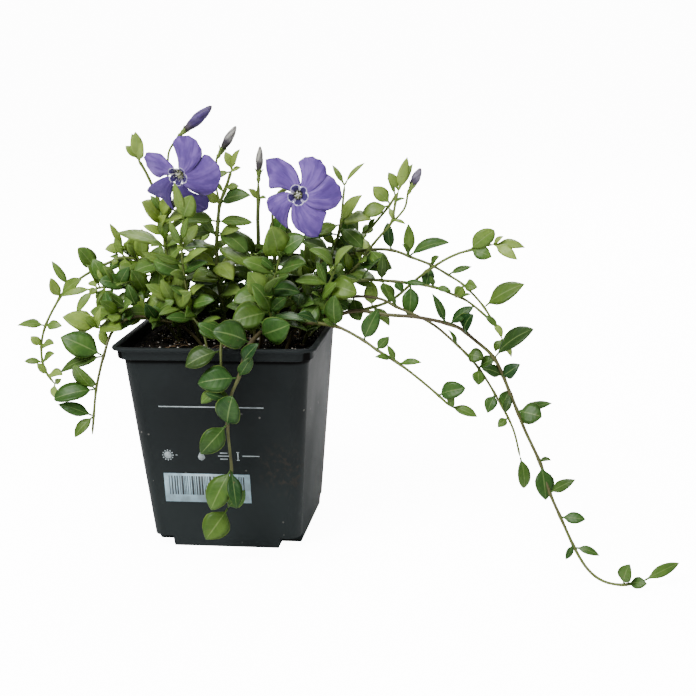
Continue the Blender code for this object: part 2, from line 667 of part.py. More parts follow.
def build_soil(parts, cutters, material):
    """The soil: it fills the pot to below the band, and each stem stands in its own hole."""
    foot, top = hollow_rings(GAP)[:2]
    edge = foot[0] + (top[0] - foot[0]) * (SOIL_LEVEL - 1.2 - foot[1]) / (top[1] - foot[1])
    rings = [
        foot, (edge, SOIL_LEVEL - 1.2), (edge - 6, SOIL_LEVEL - 0.4), (edge - 14, SOIL_LEVEL),
        (edge - 23, SOIL_LEVEL + 0.5), (edge - 31, SOIL_LEVEL + 0.7),
    ]
    bm = square_block(rings, SOIL_ROUGHNESS)
    bmesh.ops.triangulate(bm, faces=[face for face in bm.faces if len(face.verts) > 3])
    soil = object_from(bm, "soil", parts, material)
    lifts = bpy.data.collections.new("soil_lifts")
    cutters.children.link(lifts)
    corner_blocks(FOOT_CORNER + WALL + GAP, FOOT_RISE + FLOOR + GAP, 0.8, lifts)
    boolean(soil, "DIFFERENCE", collection=lifts)
    holes = bpy.data.collections.new("stem_holes")
    cutters.children.link(holes)
    for name, stem in STEMS.items():
        x, y, z = stem["route"][0]
        radius = (stem["thick"] + HOLE_ROOM) * math.sqrt(2)
        bm = bmesh.new()
        bmesh.ops.create_cone(
            bm, cap_ends=True, segments=4, radius1=radius, radius2=radius, depth=2 * ROOT_DEPTH
        )
        bm.transform(Matrix.Translation((x, y, z)))
        as_helper(object_from(bm, f"hole_{name}", holes))
    boolean(soil, "DIFFERENCE", collection=holes)
    apply_modifiers(soil)
    return soil


# Smooth routes and the tubes along them


def smooth_place(points, at):
    """The place and the direction at a number along the points, on a smooth curve."""
    last = len(points) - 1
    index = min(int(at), last - 1)
    t = at - index
    start, end = points[index], points[index + 1]
    length = (end - start).length
    leave = (end - points[max(index - 1, 0)]).normalized() * length
    arrive = (points[min(index + 2, last)] - start).normalized() * length
    place = (
        start * (2 * t**3 - 3 * t**2 + 1) + leave * (t**3 - 2 * t**2 + t)
        + end * (3 * t**2 - 2 * t**3) + arrive * (t**3 - t**2)
    )
    direction = (
        start * (6 * t**2 - 6 * t) + leave * (3 * t**2 - 4 * t + 1)
        + end * (6 * t - 6 * t**2) + arrive * (3 * t**2 - 2 * t)
    )
    return place, direction.normalized()


def places_along(points, step):
    """Places along the smooth curve, about a step apart, with their numbers."""
    found = []
    for index in range(len(points) - 1):
        length = (points[index + 1] - points[index]).length
        count = max(1, round(length / step))
        numbers = [index + part / count for part in range(count)]
        found += [(number, smooth_place(points, number)[0]) for number in numbers]
    return [*found, (len(points) - 1, points[-1])]


def stem_points(stem):
    """The stem's points, with those of its straight root below the soil in front of them."""
    x, y, z = stem["route"][0]
    roots = [(x, y, z - ROOT_DEPTH), (x, y, z - 3)]
    return [Vector(point) for point in [*roots, *stem["route"]]]


def on_stem(points, at):
    """The place on the stem's tube at a number along its points above the soil."""
    at += ROOT_POINTS
    spots = places_along(points, STEM_STEP)
    for (low, start), (high, end) in zip(spots, spots[1:]):
        if low <= at <= high:
            return start.lerp(end, (at - low) / (high - low))
    return points[-1]


def tube(places, radii, name, collection, material=None):
    """A four-sided tube through these places, closed at both ends, as a mesh."""
    curve = bpy.data.curves.new(name, "CURVE")
    curve.dimensions = "3D"
    curve.bevel_depth = MM
    curve.bevel_resolution = 0
    curve.use_fill_caps = True
    spline = curve.splines.new("POLY")
    spline.points.add(len(places) - 1)
    for point, place, radius in zip(spline.points, places, radii):
        point.co = (*(place * MM), 1.0)
        point.radius = radius
    guide = bpy.data.objects.new(name, curve)
    collection.objects.link(guide)
    graph = bpy.context.evaluated_depsgraph_get()
    mesh = bpy.data.meshes.new_from_object(guide.evaluated_get(graph))
    bpy.data.objects.remove(guide)
    bm = bmesh.new()
    bm.from_mesh(mesh)
    bmesh.ops.remove_doubles(bm, verts=bm.verts[:], dist=0.01 * MM)
    bm.transform(Matrix.Scale(1 / MM, 4))
    return object_from(bm, name, collection, material)


# Leaves, petals and buds, each shaped from a coarse sphere


def blade(root, reach, face, width, rings, thick, bow, turn=0.0):
    """A thin pointed blade along its reach, flat above and with a keel below.

    Each ring of a three-sided sphere becomes one section: two edges and the keel.
    """
    count = len(rings) + 1
    stations = [(0.0, 0.0), *rings, (1.0, 0.0)]
    normal = face - reach * face.dot(reach) / reach.length_squared
    normal.normalize()
    side = reach.normalized().cross(normal)
    bm = bmesh.new()
    bmesh.ops.create_uvsphere(bm, u_segments=3, v_segments=count, radius=1)
    for vert in bm.verts:
        ring = round(math.acos(max(-1.0, min(1.0, vert.co.z))) * count / math.pi)
        along, part = stations[ring]
        centre = root + reach * along + normal * reach.length * bow * 4 * along * (1 - along)
        centre += side * turn * reach.length * along**2
        if part and abs(vert.co.x) < 0.01:
            vert.co = centre - normal * thick * (0.8 if part < 0.3 else 1.0)
        else:
            half = math.copysign(max(width / 2 * part, 0.5), vert.co.x) if part else 0.0
            vert.co = centre + side * half
    bmesh.ops.triangulate(bm, faces=bm.faces[:])
    bmesh.ops.recalc_face_normals(bm, faces=bm.faces[:])
    return bm


def leaf(root, reach, face, width, room=0.0):
    """A leaf on its short petiole, or with room the space it needs round it."""
    extra = reach.normalized() * room
    rings = LEAF_RINGS if width > SMALL_WIDTH else SMALL_RINGS
    lift = face.normalized() * room
    return blade(
        root + lift, reach + extra, face, width + 2 * room, rings, LEAF_THICK + 2 * room, LEAF_BOW
    )


def bud_shape(root, aim, length, width):
    """A slim twisted bud that stands on its calyx."""
    count = len(BUD_RINGS) + 1
    stations = [(0.0, 0.0), *BUD_RINGS, (1.0, 0.0)]
    turn = aim.to_track_quat("Z", "Y")
    bm = bmesh.new()
    bmesh.ops.create_uvsphere(bm, u_segments=6, v_segments=count, radius=1)
    for vert in bm.verts:
        ring = round(math.acos(max(-1.0, min(1.0, vert.co.z))) * count / math.pi)
        around = math.hypot(vert.co.x, vert.co.y)
        along, part = stations[ring]
        out = Vector((vert.co.x, vert.co.y, 0)) * (part * width / 2 / around if part else 0.0)
        vert.co = root + turn @ (out + Vector((0, 0, along * length)))
    bmesh.ops.triangulate(bm, faces=bm.faces[:])
    bmesh.ops.recalc_face_normals(bm, faces=bm.faces[:])
    return bm


def cone_along(root, aim, length, radius, end_radius, sides):
    """A cone or a cylinder that starts at the root and runs along the aim."""
    bm = bmesh.new()
    bmesh.ops.create_cone(
        bm, cap_ends=True, segments=sides, radius1=radius, radius2=end_radius, depth=length
    )
    bm.transform(Matrix.Translation((0, 0, length / 2)))
    bm.transform(aim.to_track_quat("Z", "Y").to_matrix().to_4x4())
    bm.transform(Matrix.Translation(root))
    return bm


# What stands where, so that nothing crosses another piece


class Crowd:
    """The surfaces placed so far, each with its owner."""

    def __init__(self):
        self.placed = []

    def add(self, owner, bm):
        low = [min(vert.co[axis] for vert in bm.verts) for axis in range(3)]
        high = [max(vert.co[axis] for vert in bm.verts) for axis in range(3)]
        self.placed.append((owner, low, high, BVHTree.FromBMesh(bm)))

    def crossed(self, owner, bm):
        """The owner of a surface that this one crosses, other than its own."""
        low = [min(vert.co[axis] for vert in bm.verts) for axis in range(3)]
        high = [max(vert.co[axis] for vert in bm.verts) for axis in range(3)]
        tree = BVHTree.FromBMesh(bm)
        for other, other_low, other_high, other_tree in self.placed:
            if other == owner:
                continue
            if any(low[a] > other_high[a] or high[a] < other_low[a] for a in range(3)):
                continue
            if tree.overlap(other_tree):
                return other
        return None


def mesh_in_mm(made):
    """A copy of an object's mesh, in millimetres."""
    bm = bmesh.new()
    bm.from_mesh(made.data)
    bm.transform(Matrix.Scale(1 / MM, 4))
    return bm


def leaf_plans(name, stem):
    """Each leaf of a stem: its name, place along the stem, reach and width."""
    plans = []
    for number, (at, x, y, z, width) in enumerate(stem["leaves"]):
        plans.append((f"{name}-{number}", at, Vector((x, y, z)), width))
    points = stem_points(stem)
    for stretch, (first, last, count, length) in enumerate(stem["pairs"]):
        for pair in range(count):
            at = first + (last - first) * pair / max(count - 1, 1)
            direction = smooth_place(points, at + ROOT_POINTS)[1]
            upright = abs(direction.z) > 0.9
            across = direction.cross(Vector((1, 0, 0)) if upright else Vector((0, 0, 1)))
            for hand in (1, -1):
                rng = random.Random(f"{name}-{stretch}-{pair}-{hand}")
                turn = math.radians(90 * pair + rng.uniform(-25, 25))
                out = Matrix.Rotation(turn, 3, direction) @ across.normalized() * hand
                reach = out * rng.uniform(0.75, 1.0) + direction * rng.uniform(0.2, 0.6)
                reach += Vector(stem["face"]).normalized() * rng.uniform(0.05, 0.35)
                size = length * rng.uniform(0.82, 1.1)
                plan = f"{name}-{stretch}-{pair}-{hand}"
                plans.append((plan, at, reach.normalized() * size, size * rng.uniform(0.48, 0.6)))
    return plans


def try_leaf(plan, attempt, points, stem):
    """One try at a leaf: as planned at first, then turned and shortened a little more each time."""
    key, at, reach, width = plan
    rng = random.Random(f"{key}-{attempt}")
    face = Vector(stem["face"]).normalized()
    face += Vector((rng.uniform(-1, 1), rng.uniform(-1, 1), rng.uniform(-1, 1))) * 0.35
    if attempt:
        axis = Vector((rng.uniform(-1, 1), rng.uniform(-1, 1), rng.uniform(-1, 1)))
        reach = Matrix.Rotation(math.radians(8 + 4 * attempt), 3, axis) @ reach
        reach = reach * (1 - 0.025 * attempt)
    root = on_stem(points, at) - reach.normalized() * 0.2
    return root, reach, face, width


def grow_leaf(plan, stem, points, name, crowd):
    """The first try of a leaf that clears everything else, or None."""
    for attempt in range(TRIES):
        root, reach, face, width = try_leaf(plan, attempt, points, stem)
        space = leaf(root, reach, face, width, room=CLEAR)
        lowest = min(vert.co.z for vert in space.verts)
        if lowest > CLEAR / 2 and not crowd.crossed(name, space):
            space.free()
            return leaf(root, reach, face, width)
        space.free()
    return None


def build_stem(name, stem, parts, joined, material, crowd):
    """The stem's tube and its bloom stalks, with a calyx at the end of each stalk."""
    points = stem_points(stem)
    spots = places_along(points, STEM_STEP)
    last = len(points) - 1
    radii = [stem["thick"] * (1 - STEM_TAPER * at / last) for at, _ in spots]
    body = tube([place for _, place in spots], radii, name, parts, material)
    pieces = []
    for bloom_name, bloom in BLOOMS.items():
        if bloom["stem"] != name:
            continue
        start = on_stem(points, bloom["at"])
        stalk = [start, *(Vector(point) for point in bloom["route"])]
        aim = Vector(bloom["aim"]).normalized()
        if len(stalk) > 1:
            spots = [place for _, place in places_along(stalk, STEM_STEP / 2)]
            pieces.append(tube(spots, [0.55] * len(spots), f"stalk_{bloom_name}", joined))
        calyx = cone_along(stalk[-1] - aim * 0.4, aim, CALYX_LENGTH, 0.6, CALYX_RADIUS, 6)
        pieces.append(object_from(calyx, f"calyx_{bloom_name}", joined))
    for piece in [body, *pieces]:
        crowd.add(name, mesh_in_mm(piece))
    return body


def bloom_seat(bloom):
    """Where the flower or bud starts: just above its calyx."""
    stem = STEMS[bloom["stem"]]
    aim = Vector(bloom["aim"]).normalized()
    if bloom["route"]:
        end = Vector(bloom["route"][-1])
    else:
        end = on_stem(stem_points(stem), bloom["at"])
    return end + aim * (CALYX_LENGTH - 0.4 + GAP), aim


def build_bud(name, bloom, parts, material, crowd):
    """A closed bud."""
    seat, aim = bloom_seat(bloom)
    bud = object_from(bud_shape(seat, aim, *bloom["bud"]), name, parts, material)
    crowd.add(name, mesh_in_mm(bud))


def build_corolla(name, bloom, parts, material, crowd):
    """An open flower: a slim tube, a throat and five petals that all lean one way."""
    seat, aim = bloom_seat(bloom)
    petals = bpy.data.collections.new(f"petals_{name}")
    bpy.context.scene.collection.children.link(petals)
    throat = seat + aim * TUBE_LENGTH
    funnel = cone_along(seat + aim * 4, aim, TUBE_LENGTH - 4, 1.0, 3.2, 8)
    corolla = object_from(cone_along(seat, aim, 5, 0.9, 1.1, 8), name, parts, material)
    object_from(funnel, "funnel", petals)
    right = Vector((0, 0, 1)).cross(aim).normalized()
    for number, (angle, length, width) in enumerate(bloom["petals"]):
        out = Matrix.Rotation(math.radians(angle - PETAL_SWING), 3, aim) @ right
        reach = out * (length - 0.8) - aim * 1.6
        petal = blade(
            throat - aim * 0.5 + out * 0.8, reach, aim, width, PETAL_RINGS, PETAL_THICK, 0.05,
            PETAL_TURN,
        )
        object_from(petal, f"petal_{number}", petals)
    join(corolla, petals)
    crowd.add(name, mesh_in_mm(corolla))


def join(body, collection):
    """Fuses every object of the collection into the body and removes them."""
    boolean(body, "UNION", collection=collection)
    apply_modifiers(body)
    for piece in list(collection.objects):
        bpy.data.objects.remove(piece)
    bpy.data.collections.remove(collection)


def main():
    for made in list(bpy.data.objects):
        bpy.data.objects.remove(made)
    scene = bpy.context.scene.collection
    parts = bpy.data.collections.new("periwinkle")
    cutters = bpy.data.collections.new("cutters")
    scene.children.link(parts)
    scene.children.link(cutters)
    green = finish("leaf_green", LEAF_GREEN, 0.45)
    violet = finish("petal_violet", PETAL_VIOLET, 0.6)
    grey = finish("bud_grey", BUD_GREY, 0.6)
    crowd = Crowd()
    pot = build_pot(parts, cutters, finish("pot_plastic", POT_BLACK, 0.5))
    soil = build_soil(parts, cutters, finish("soil", SOIL_BLACK, 0.95))
    crowd.add("pot", mesh_in_mm(pot))

    bodies, fused = {}, {}
    for name, stem in STEMS.items():
        fused[name] = bpy.data.collections.new(f"leaves_{name}")
        scene.children.link(fused[name])
        bodies[name] = build_stem(name, stem, parts, fused[name], green, crowd)
    for name, bloom in BLOOMS.items():
        if "bud" in bloom:
            build_bud(name, bloom, parts, grey, crowd)
        else:
            build_corolla(name, bloom, parts, violet, crowd)
    crowd.add("soil", mesh_in_mm(soil))

    grown = missed = 0
    for name, stem in STEMS.items():
        points = stem_points(stem)
        for plan in leaf_plans(name, stem):
            shape = grow_leaf(plan, stem, points, name, crowd)
            if shape is None:
                missed += 1
                print("no room for", plan[0])
                continue
            grown += 1
            crowd.add(name, shape)
            object_from(shape, f"leaf_{plan[0]}", fused[name])
    for name, body in bodies.items():
        join(body, fused[name])
    print(grown, "leaves,", missed, "without room")


main()
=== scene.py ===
# %% [markdown]
# # A potted lesser periwinkle, one step at a time
# This lesson dresses a plain solid model of a small trailing plant in a square nursery pot. The
# solids come first and stay fixed: each finished piece stands exactly where one of them stands.
# Lengths are written in millimetres, as a maker would, and become metres when a mesh is finished.
# X runs to the right along the pot's front, Y to the back and Z up, from the middle of its foot.

# %% Load the solids as a fixed frame
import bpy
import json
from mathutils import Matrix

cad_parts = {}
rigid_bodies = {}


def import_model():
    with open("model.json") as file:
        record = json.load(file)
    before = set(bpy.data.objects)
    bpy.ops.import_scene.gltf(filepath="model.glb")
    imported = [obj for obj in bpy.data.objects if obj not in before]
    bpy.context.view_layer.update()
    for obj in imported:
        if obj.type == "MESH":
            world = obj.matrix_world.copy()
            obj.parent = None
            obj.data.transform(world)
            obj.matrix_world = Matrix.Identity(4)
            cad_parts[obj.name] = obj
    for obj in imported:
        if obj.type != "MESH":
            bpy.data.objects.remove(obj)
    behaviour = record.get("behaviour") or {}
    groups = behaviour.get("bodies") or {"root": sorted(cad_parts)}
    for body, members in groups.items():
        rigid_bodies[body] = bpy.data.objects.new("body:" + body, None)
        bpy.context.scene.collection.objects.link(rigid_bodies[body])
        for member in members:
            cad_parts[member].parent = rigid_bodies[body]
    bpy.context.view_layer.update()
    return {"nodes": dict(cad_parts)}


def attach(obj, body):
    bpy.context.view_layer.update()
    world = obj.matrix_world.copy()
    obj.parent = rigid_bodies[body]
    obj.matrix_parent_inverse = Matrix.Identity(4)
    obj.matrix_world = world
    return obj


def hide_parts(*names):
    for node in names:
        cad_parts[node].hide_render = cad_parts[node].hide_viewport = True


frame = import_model()

print("solids:", len(frame["nodes"]))

# %% What the lesson needs from Python and Blender
import json
import math
import random

import bmesh
import bpy
from mathutils import Matrix, Vector
from mathutils.kdtree import KDTree

MM = 0.001
UP = Vector((0, 0, 1))

# %% [markdown]
# ## The camera
# The photograph was taken from a little above and to the right of the pot, with a long lens that
# keeps the pot's sides nearly parallel. The camera's place and turn were worked out from the
# corners of the pot. A turn is three simple ones in a row: lean down from level, swing round to
# the left, and tip the camera a little about its own axis, which is why they are multiplied.

# %% Place the camera
CAMERA_PLACE = Vector((142.88, -594.38, 231.97))
CAMERA_SWING = math.radians(8.653)
CAMERA_DIP = math.radians(13.802)
CAMERA_TIP = math.radians(-1.544)
CAMERA_LENS = 71.08

room = bpy.context.scene.collection
lens = bpy.data.cameras.new("camera")
lens.lens = CAMERA_LENS
lens.sensor_width = 36.0
lens.clip_start = 0.01
lens.clip_end = 50.0
camera = bpy.data.objects.new("camera", lens)
room.objects.link(camera)
swing = Matrix.Rotation(CAMERA_SWING, 4, "Z")
dip = Matrix.Rotation(math.radians(90) - CAMERA_DIP, 4, "X")
tip = Matrix.Rotation(CAMERA_TIP, 4, "Z")
camera.matrix_world = Matrix.Translation(CAMERA_PLACE * MM) @ swing @ dip @ tip
bpy.context.scene.camera = camera
print("camera height in mm:", CAMERA_PLACE.z)

# %% [markdown]
# ## Floor and light
# A product picture of a plant is taken on a pale sheet with large soft lamps, so that dark plastic
# and small leaves both keep their detail. The floor is one wide sheet that is bent up far behind
# the plant, so that no edge shows. To the camera it glows, as lit paper does in a bright studio, but
# it lights the plant much less. Three square lamps do the rest: a key lamp high on the left, a weak
# one on the right that draws the pot's side face, and one behind that gives the leaves a bright
# edge. A pale sky fills in, and a firmer contrast keeps the gaps between the leaves dark.

# %% Two tools for every mesh
def to_object(bm, name, collection=room):
    """A new object in this collection, with the bmesh as its mesh."""
    mesh = bpy.data.meshes.new(name)
    bm.to_mesh(mesh)
    bm.free()
    made = bpy.data.objects.new(name, mesh)
    collection.objects.link(made)
    return made


def pick(geom, kind):
    """The items of one kind among what an operator made."""
    return [item for item in geom if isinstance(item, kind)]


# %% Make the floor
FLOOR_HALF = 5.0
BEND_START = 1.6
BEND_RADIUS = 1.2
BEND_STEPS = 24
BACK_HEIGHT = 3.0
GLOW_ON_PLANT = 0.12
GLOW_TO_CAMERA = 6.0

floor_mesh = bmesh.new()
left = floor_mesh.verts.new((-FLOOR_HALF, -FLOOR_HALF, 0.0))
right = floor_mesh.verts.new((FLOOR_HALF, -FLOOR_HALF, 0.0))
edge = floor_mesh.edges.new((left, right))


def pull_edge(bm, edge, move):
    """Extrudes an edge and moves its copy."""
    grown = bmesh.ops.extrude_edge_only(bm, edges=[edge])["geom"]
    verts = pick(grown, bmesh.types.BMVert)
    bmesh.ops.translate(bm, vec=move, verts=verts)
    return next(item for item in bm.edges if set(item.verts) == set(verts))


edge = pull_edge(floor_mesh, edge, Vector((0, FLOOR_HALF + BEND_START, 0)))
for step in range(BEND_STEPS):
    before = math.radians(90) * step / BEND_STEPS
    after = math.radians(90) * (step + 1) / BEND_STEPS
    move = Vector((0, math.sin(after) - math.sin(before), math.cos(before) - math.cos(after)))
    edge = pull_edge(floor_mesh, edge, move * BEND_RADIUS)
edge = pull_edge(floor_mesh, edge, Vector((0, 0, BACK_HEIGHT)))
bmesh.ops.recalc_face_normals(floor_mesh, faces=floor_mesh.faces[:])
if floor_mesh.faces[:][0].normal.z < 0:
    bmesh.ops.reverse_faces(floor_mesh, faces=floor_mesh.faces[:])
floor = to_object(floor_mesh, "floor")
floor.data.shade_smooth()

# %% Give the floor its paper
floor_paper = bpy.data.materials.new("floor_paper")
floor_paper.use_nodes = True
paper = floor_paper.node_tree.nodes["Principled BSDF"]
paper.inputs["Base Color"].default_value = (0.92, 0.92, 0.92, 1.0)
paper.inputs["Roughness"].default_value = 0.9
paper.inputs["Emission Color"].default_value = (1.0, 1.0, 1.0, 1.0)
seen = floor_paper.node_tree.nodes.new("ShaderNodeLightPath")
glow = floor_paper.node_tree.nodes.new("ShaderNodeMapRange")
glow.inputs["To Min"].default_value = GLOW_ON_PLANT
glow.inputs["To Max"].default_value = GLOW_TO_CAMERA
floor_paper.node_tree.links.new(seen.outputs["Is Camera Ray"], glow.inputs["Value"])
floor_paper.node_tree.links.new(glow.outputs["Result"], paper.inputs["Emission Strength"])
floor.data.materials.append(floor_paper)
print("floor:", len(floor.data.polygons), "faces")

# %% Hang the lamps and the pale sky
LAMP_AIM = Vector((0.0, 0.0, 0.09))


def add_lamp(name, place, size, power):
    """A square lamp that looks at the middle of the plant."""
    light = bpy.data.lights.new(name, "AREA")
    light.energy = power
    light.size = size
    lamp = bpy.data.objects.new(name, light)
    towards = LAMP_AIM - Vector(place)
    turn = towards.to_track_quat("-Z", "Y").to_matrix().to_4x4()
    lamp.matrix_world = Matrix.Translation(place) @ turn
    room.objects.link(lamp)


add_lamp("key_lamp", (-0.6, -0.9, 1.4), 0.9, 27.0)
add_lamp("side_lamp", (1.2, -0.3, 0.8), 0.9, 2.0)
add_lamp("back_lamp", (0.1, 1.1, 1.1), 0.8, 8.0)
sky = bpy.data.worlds.new("pale_sky")
sky.use_nodes = True
sky.node_tree.nodes["Background"].inputs["Color"].default_value = (1.0, 1.0, 1.0, 1.0)
sky.node_tree.nodes["Background"].inputs["Strength"].default_value = 0.28
bpy.context.scene.world = sky
bpy.context.scene.view_settings.look = "AgX - Medium High Contrast"
print("lamps:", len(bpy.data.lights))

# %% [markdown]
# ## The stems, written down
# Each stem of the plant is planned by one call: how old and dark it is (tone, from 0 for a fresh
# shoot to 1 for last year's growth), the points it runs through from the soil on, and its leaves.
# A leaf is a place along those points, a reach in x, y and z, and a width. Stretches that carry
# plain opposite pairs are (from, to, pairs, length), and the small leaves that fill the gaps
# between the others are planned in the same way. Most stems are equally thick and turn their
# leaves to the same side, so only the others say so. Such a plan is slow to write but easy to
# change: one number moves one leaf.

# %% Plan a stem
OPEN_FACE = (0.1, -0.6, 0.8)
FRONT_FACE = (0.2, -1.0, 0.35)
BACK_FACE = (0, 0.9, 0.6)
TOP_FACE = (0, 0.4, 0.9)
STEMS = {}


def plan_stem(name, tone, route, leaves=(), pairs=(), small=(), bare=(), thick=0.9, face=OPEN_FACE):
    """Writes down one stem; bare is the route of a stalk without leaves beside it."""
    STEMS[name] = dict(
        tone=tone, route=route, leaves=leaves, pairs=pairs, small=small, bare=bare, thick=thick,
        face=face,
    )


print("most leaves look towards", OPEN_FACE)

# %% Runners to the right
plan_stem(
    "runner_long", tone=0.78, thick=1,
    route=[
        (30, 2, 88), (36, -5, 97), (47, -12, 101), (59, -16, 105), (72, -19, 104), (87, -20, 103),
        (103, -20, 99), (110, -21, 94), (119, -23, 86), (126, -26, 71), (132, -30, 57), (139, -35, 43),
        (143, -40, 32), (148, -45, 22), (154, -49, 10), (159, -53, 3.4), (165, -60, 1.5),
        (172, -63, 1.4), (178, -61, 1.6), (181, -60, 2),
    ],
    leaves=[
        (19, 14.5, 6, 6, 4), (17.2, 2, -1, 9, 7), (17.5, 7, -4, 2, 4), (13.9, 10, -2, -2, 3.2),
        (13.8, -3, -4, -5, 2.4), (12.9, 10, -2, 0, 4), (12, 10, -3, 7, 3.5), (11, 2, -4, -14, 7),
        (10.9, 5, -2, 1, 2), (9.5, 10, -4, -1, 9), (9.5, 14, 2, 3, 3.5), (9, -2, -3, -7, 3),
        (8.5, -8, -2, 4, 5), (8.5, 7, -4, 6, 6), (8, 16, -3, 13, 9), (6.5, 3, -5, 9, 8),
        (5.8, 10, -1, 8, 5.5), (5.7, -5, -2, 13, 3),
    ],
)
plan_stem(
    "runner_green", tone=0.81, pairs=[(1, 2, 2, 13)], small=[(0.9, 1.6, 2, 11)],
    route=[
        (23, -4, 88), (34, -8, 101), (46, -9, 108), (58, -9.5, 110), (69, -10, 109), (76, -12, 106),
        (89, -15.5, 101), (97, -18, 96), (111, -19, 82), (121, -20, 66), (127, -21, 54), (130, -22, 42),
    ],
    leaves=[
        (11, 2, -3, -13, 6), (9.6, -4, -3, -3, 3.5), (9.2, 3, 2, 7, 4), (8.8, -3, -4, -7, 4),
        (8.1, 7, -3, 5, 5), (8.1, 0, -4, -6, 4), (7.7, 7, -4, 0, 6), (7.4, -3, -2, 7, 2),
        (5, -3, -2, 7, 1.8), (2.9, 2, -7, -9, 8), (2.9, -6, -4, 8, 6),
    ],
)
plan_stem(
    "runner_upper", tone=0.57, pairs=[(1.2, 2.2, 2, 14)], small=[(0.8, 1.8, 3, 11)],
    route=[
        (20, 10, 88), (30, 12, 108), (45, 12, 122), (60, 10, 127), (72, 8, 127.5), (82, 5, 124.5),
        (90, 2, 122), (98, -1, 118), (105, -4, 114), (114, -8, 105), (122, -12, 92),
    ],
    leaves=[
        (9, 17, -2, 10, 9.5), (10, 4, -3, -7, 3), (10, -3, -2, -5, 3), (8, 6, -4, 0, 5),
        (8, -4, -4, -4, 4), (7, 10, -2, 4, 2.6), (6, -2, -4, -9, 4.5), (6, 4, -2, 4, 4),
        (4.8, 17, -3, 7, 7.5), (4.8, 0, 0, 14, 4), (4.8, -2, -4, 6, 3), (4, -3, -3, 12, 5.5),
        (3.2, 4, -6, -8, 6), (2.6, -5, -4, 9, 6),
    ],
)
plan_stem(
    "runner_arching", tone=0.35, pairs=[(1.2, 2.4, 2, 13)],
    route=[
        (34, 6, 88), (44, 6, 97), (58, 3, 101), (72, 1, 106), (85, -2, 117), (96, -5, 125),
        (103, -6, 128.5), (108, -6.5, 130), (114, -7, 132), (118, -7.5, 132.5),
    ],
    leaves=[
        (7, 10, -1, 8.5, 7), (7, 9, -4, -2, 5), (9, 13, -1, -1, 5), (9, 10, -6, -5, 4),
        (9, 4, -2, 4, 2.6),
    ],
)
plan_stem(
    "runner_pale", tone=0.63, pairs=[(1.1, 2.2, 2, 14)], small=[(0.8, 2.2, 3, 11)],
    route=[
        (22, -10, 88), (31, -9, 103), (42, -5, 112), (51, -3, 114.5), (60, -3, 116), (75, -6, 116),
        (92, -8, 114), (100, -8.5, 111), (107, -9.5, 108), (118, -11, 99),
    ],
    leaves=[
        (9, 4, -3, -5, 2.4), (8.6, 6, -2, -5, 2.6), (7.5, 5, -3, 2, 1.8), (6.1, 7, -3, -1, 2.2),
        (6, -1, -2, 5, 2), (5.4, 0, -5, -13, 6.5), (5.2, 10, -4, 0, 2.8), (5, 3, -3, -4, 3),
        (4.6, 1, -3, 12, 3.6), (4.6, 4, -6, -8, 6), (4, 11, -3, 11, 9.5), (4, -11, -5, -1, 5.5),
        (3.2, -6, -6, 8, 7),
    ],
)
plan_stem(
    "runner_low", tone=0.74,
    route=[
        (28, -20, 88), (33, -21, 98), (40, -24, 101), (49, -29, 101.5), (55, -33, 101), (65, -38, 97),
        (71, -42, 94), (79, -45, 90), (87, -48, 85), (96, -50, 78), (102, -52, 73),
    ],
    leaves=[
        (10, 11, -3, -3.5, 3.6), (10, 2, -3, 5, 3), (9.2, 11, -3, 4, 7.5), (7, -3, -1, 7, 2.4),
        (7.2, 9, -4, 2, 3), (6.8, -6, -4, 2, 2.4), (6, 5, -2, 6, 3), (5, 6, -3, 13, 6.5),
        (3.6, 0, -3, 14, 8), (3.4, -4, -3, 4, 3), (2.4, -7, -7, 6, 6),
    ],
)
print("stems written down:", len(STEMS))

# %% Trails and sprays to the left
plan_stem(
    "trail_left_far", tone=0.2, face=(-0.1, -0.6, 0.8), pairs=[(1.2, 3.2, 4, 14)],
    small=[(0.9, 4.4, 5, 11)],
    route=[
        (-18, 12, 88), (-24, 13, 102), (-33, 14, 114), (-42, 14, 120), (-53, 12, 123.5), (-61, 10, 121),
        (-71, 8, 116), (-80, 5, 109.5), (-84, 3.5, 104), (-89, 0, 94), (-91, -2, 86), (-91, -3, 78),
        (-89, -4, 72), (-85, -5, 67),
    ],
    leaves=[
        (13, 0, -2, -6, 3), (13, 4, -2, 3, 2.4), (12.2, -4, -2, 6, 3), (12.2, 8, -3, 1, 4),
        (11.2, 7, -3, 5, 4), (11.2, -8, -2, 1, 3), (10.2, -4, -2, 5, 3.2), (10.2, 7, -3, 2, 4.4),
        (9.05, -12, -3, 1, 4.8), (9.05, 9, -3, 0.5, 4.4), (7.6, 12, -4, 9, 6.5), (7.6, -3, -3, 9, 5.4),
        (6.8, -7, -1, 12, 3.2), (5.5, -7, -2, 10, 7.5), (5.2, 3, -4, -8, 5), (4, -4, 0, 9, 3),
        (4, 2, -5, -8, 6),
    ],
)
plan_stem(
    "trail_left_near", tone=0.78, face=(-0.3, -0.9, 0.5), small=[(1.2, 3.0, 3, 9)],
    route=[
        (-12, -12, 88), (-20, -14, 97), (-28, -16, 100), (-40, -20, 102.5), (-47.8, -26, 98),
        (-50.5, -34, 88), (-52, -38, 80), (-53, -40, 74), (-54, -42, 64), (-55, -43, 55),
    ],
    leaves=[
        (5, -17, -3, 9, 11), (5, -18, -5, -5, 8), (6.9, -6, -6, 12.5, 9.5), (6.9, -17, -5, -3, 8.5),
        (8.1, -14, -3, 6, 4.4), (8.1, -7, -5, -8, 5.5), (2.2, -3, -6, 9, 5),
    ],
)
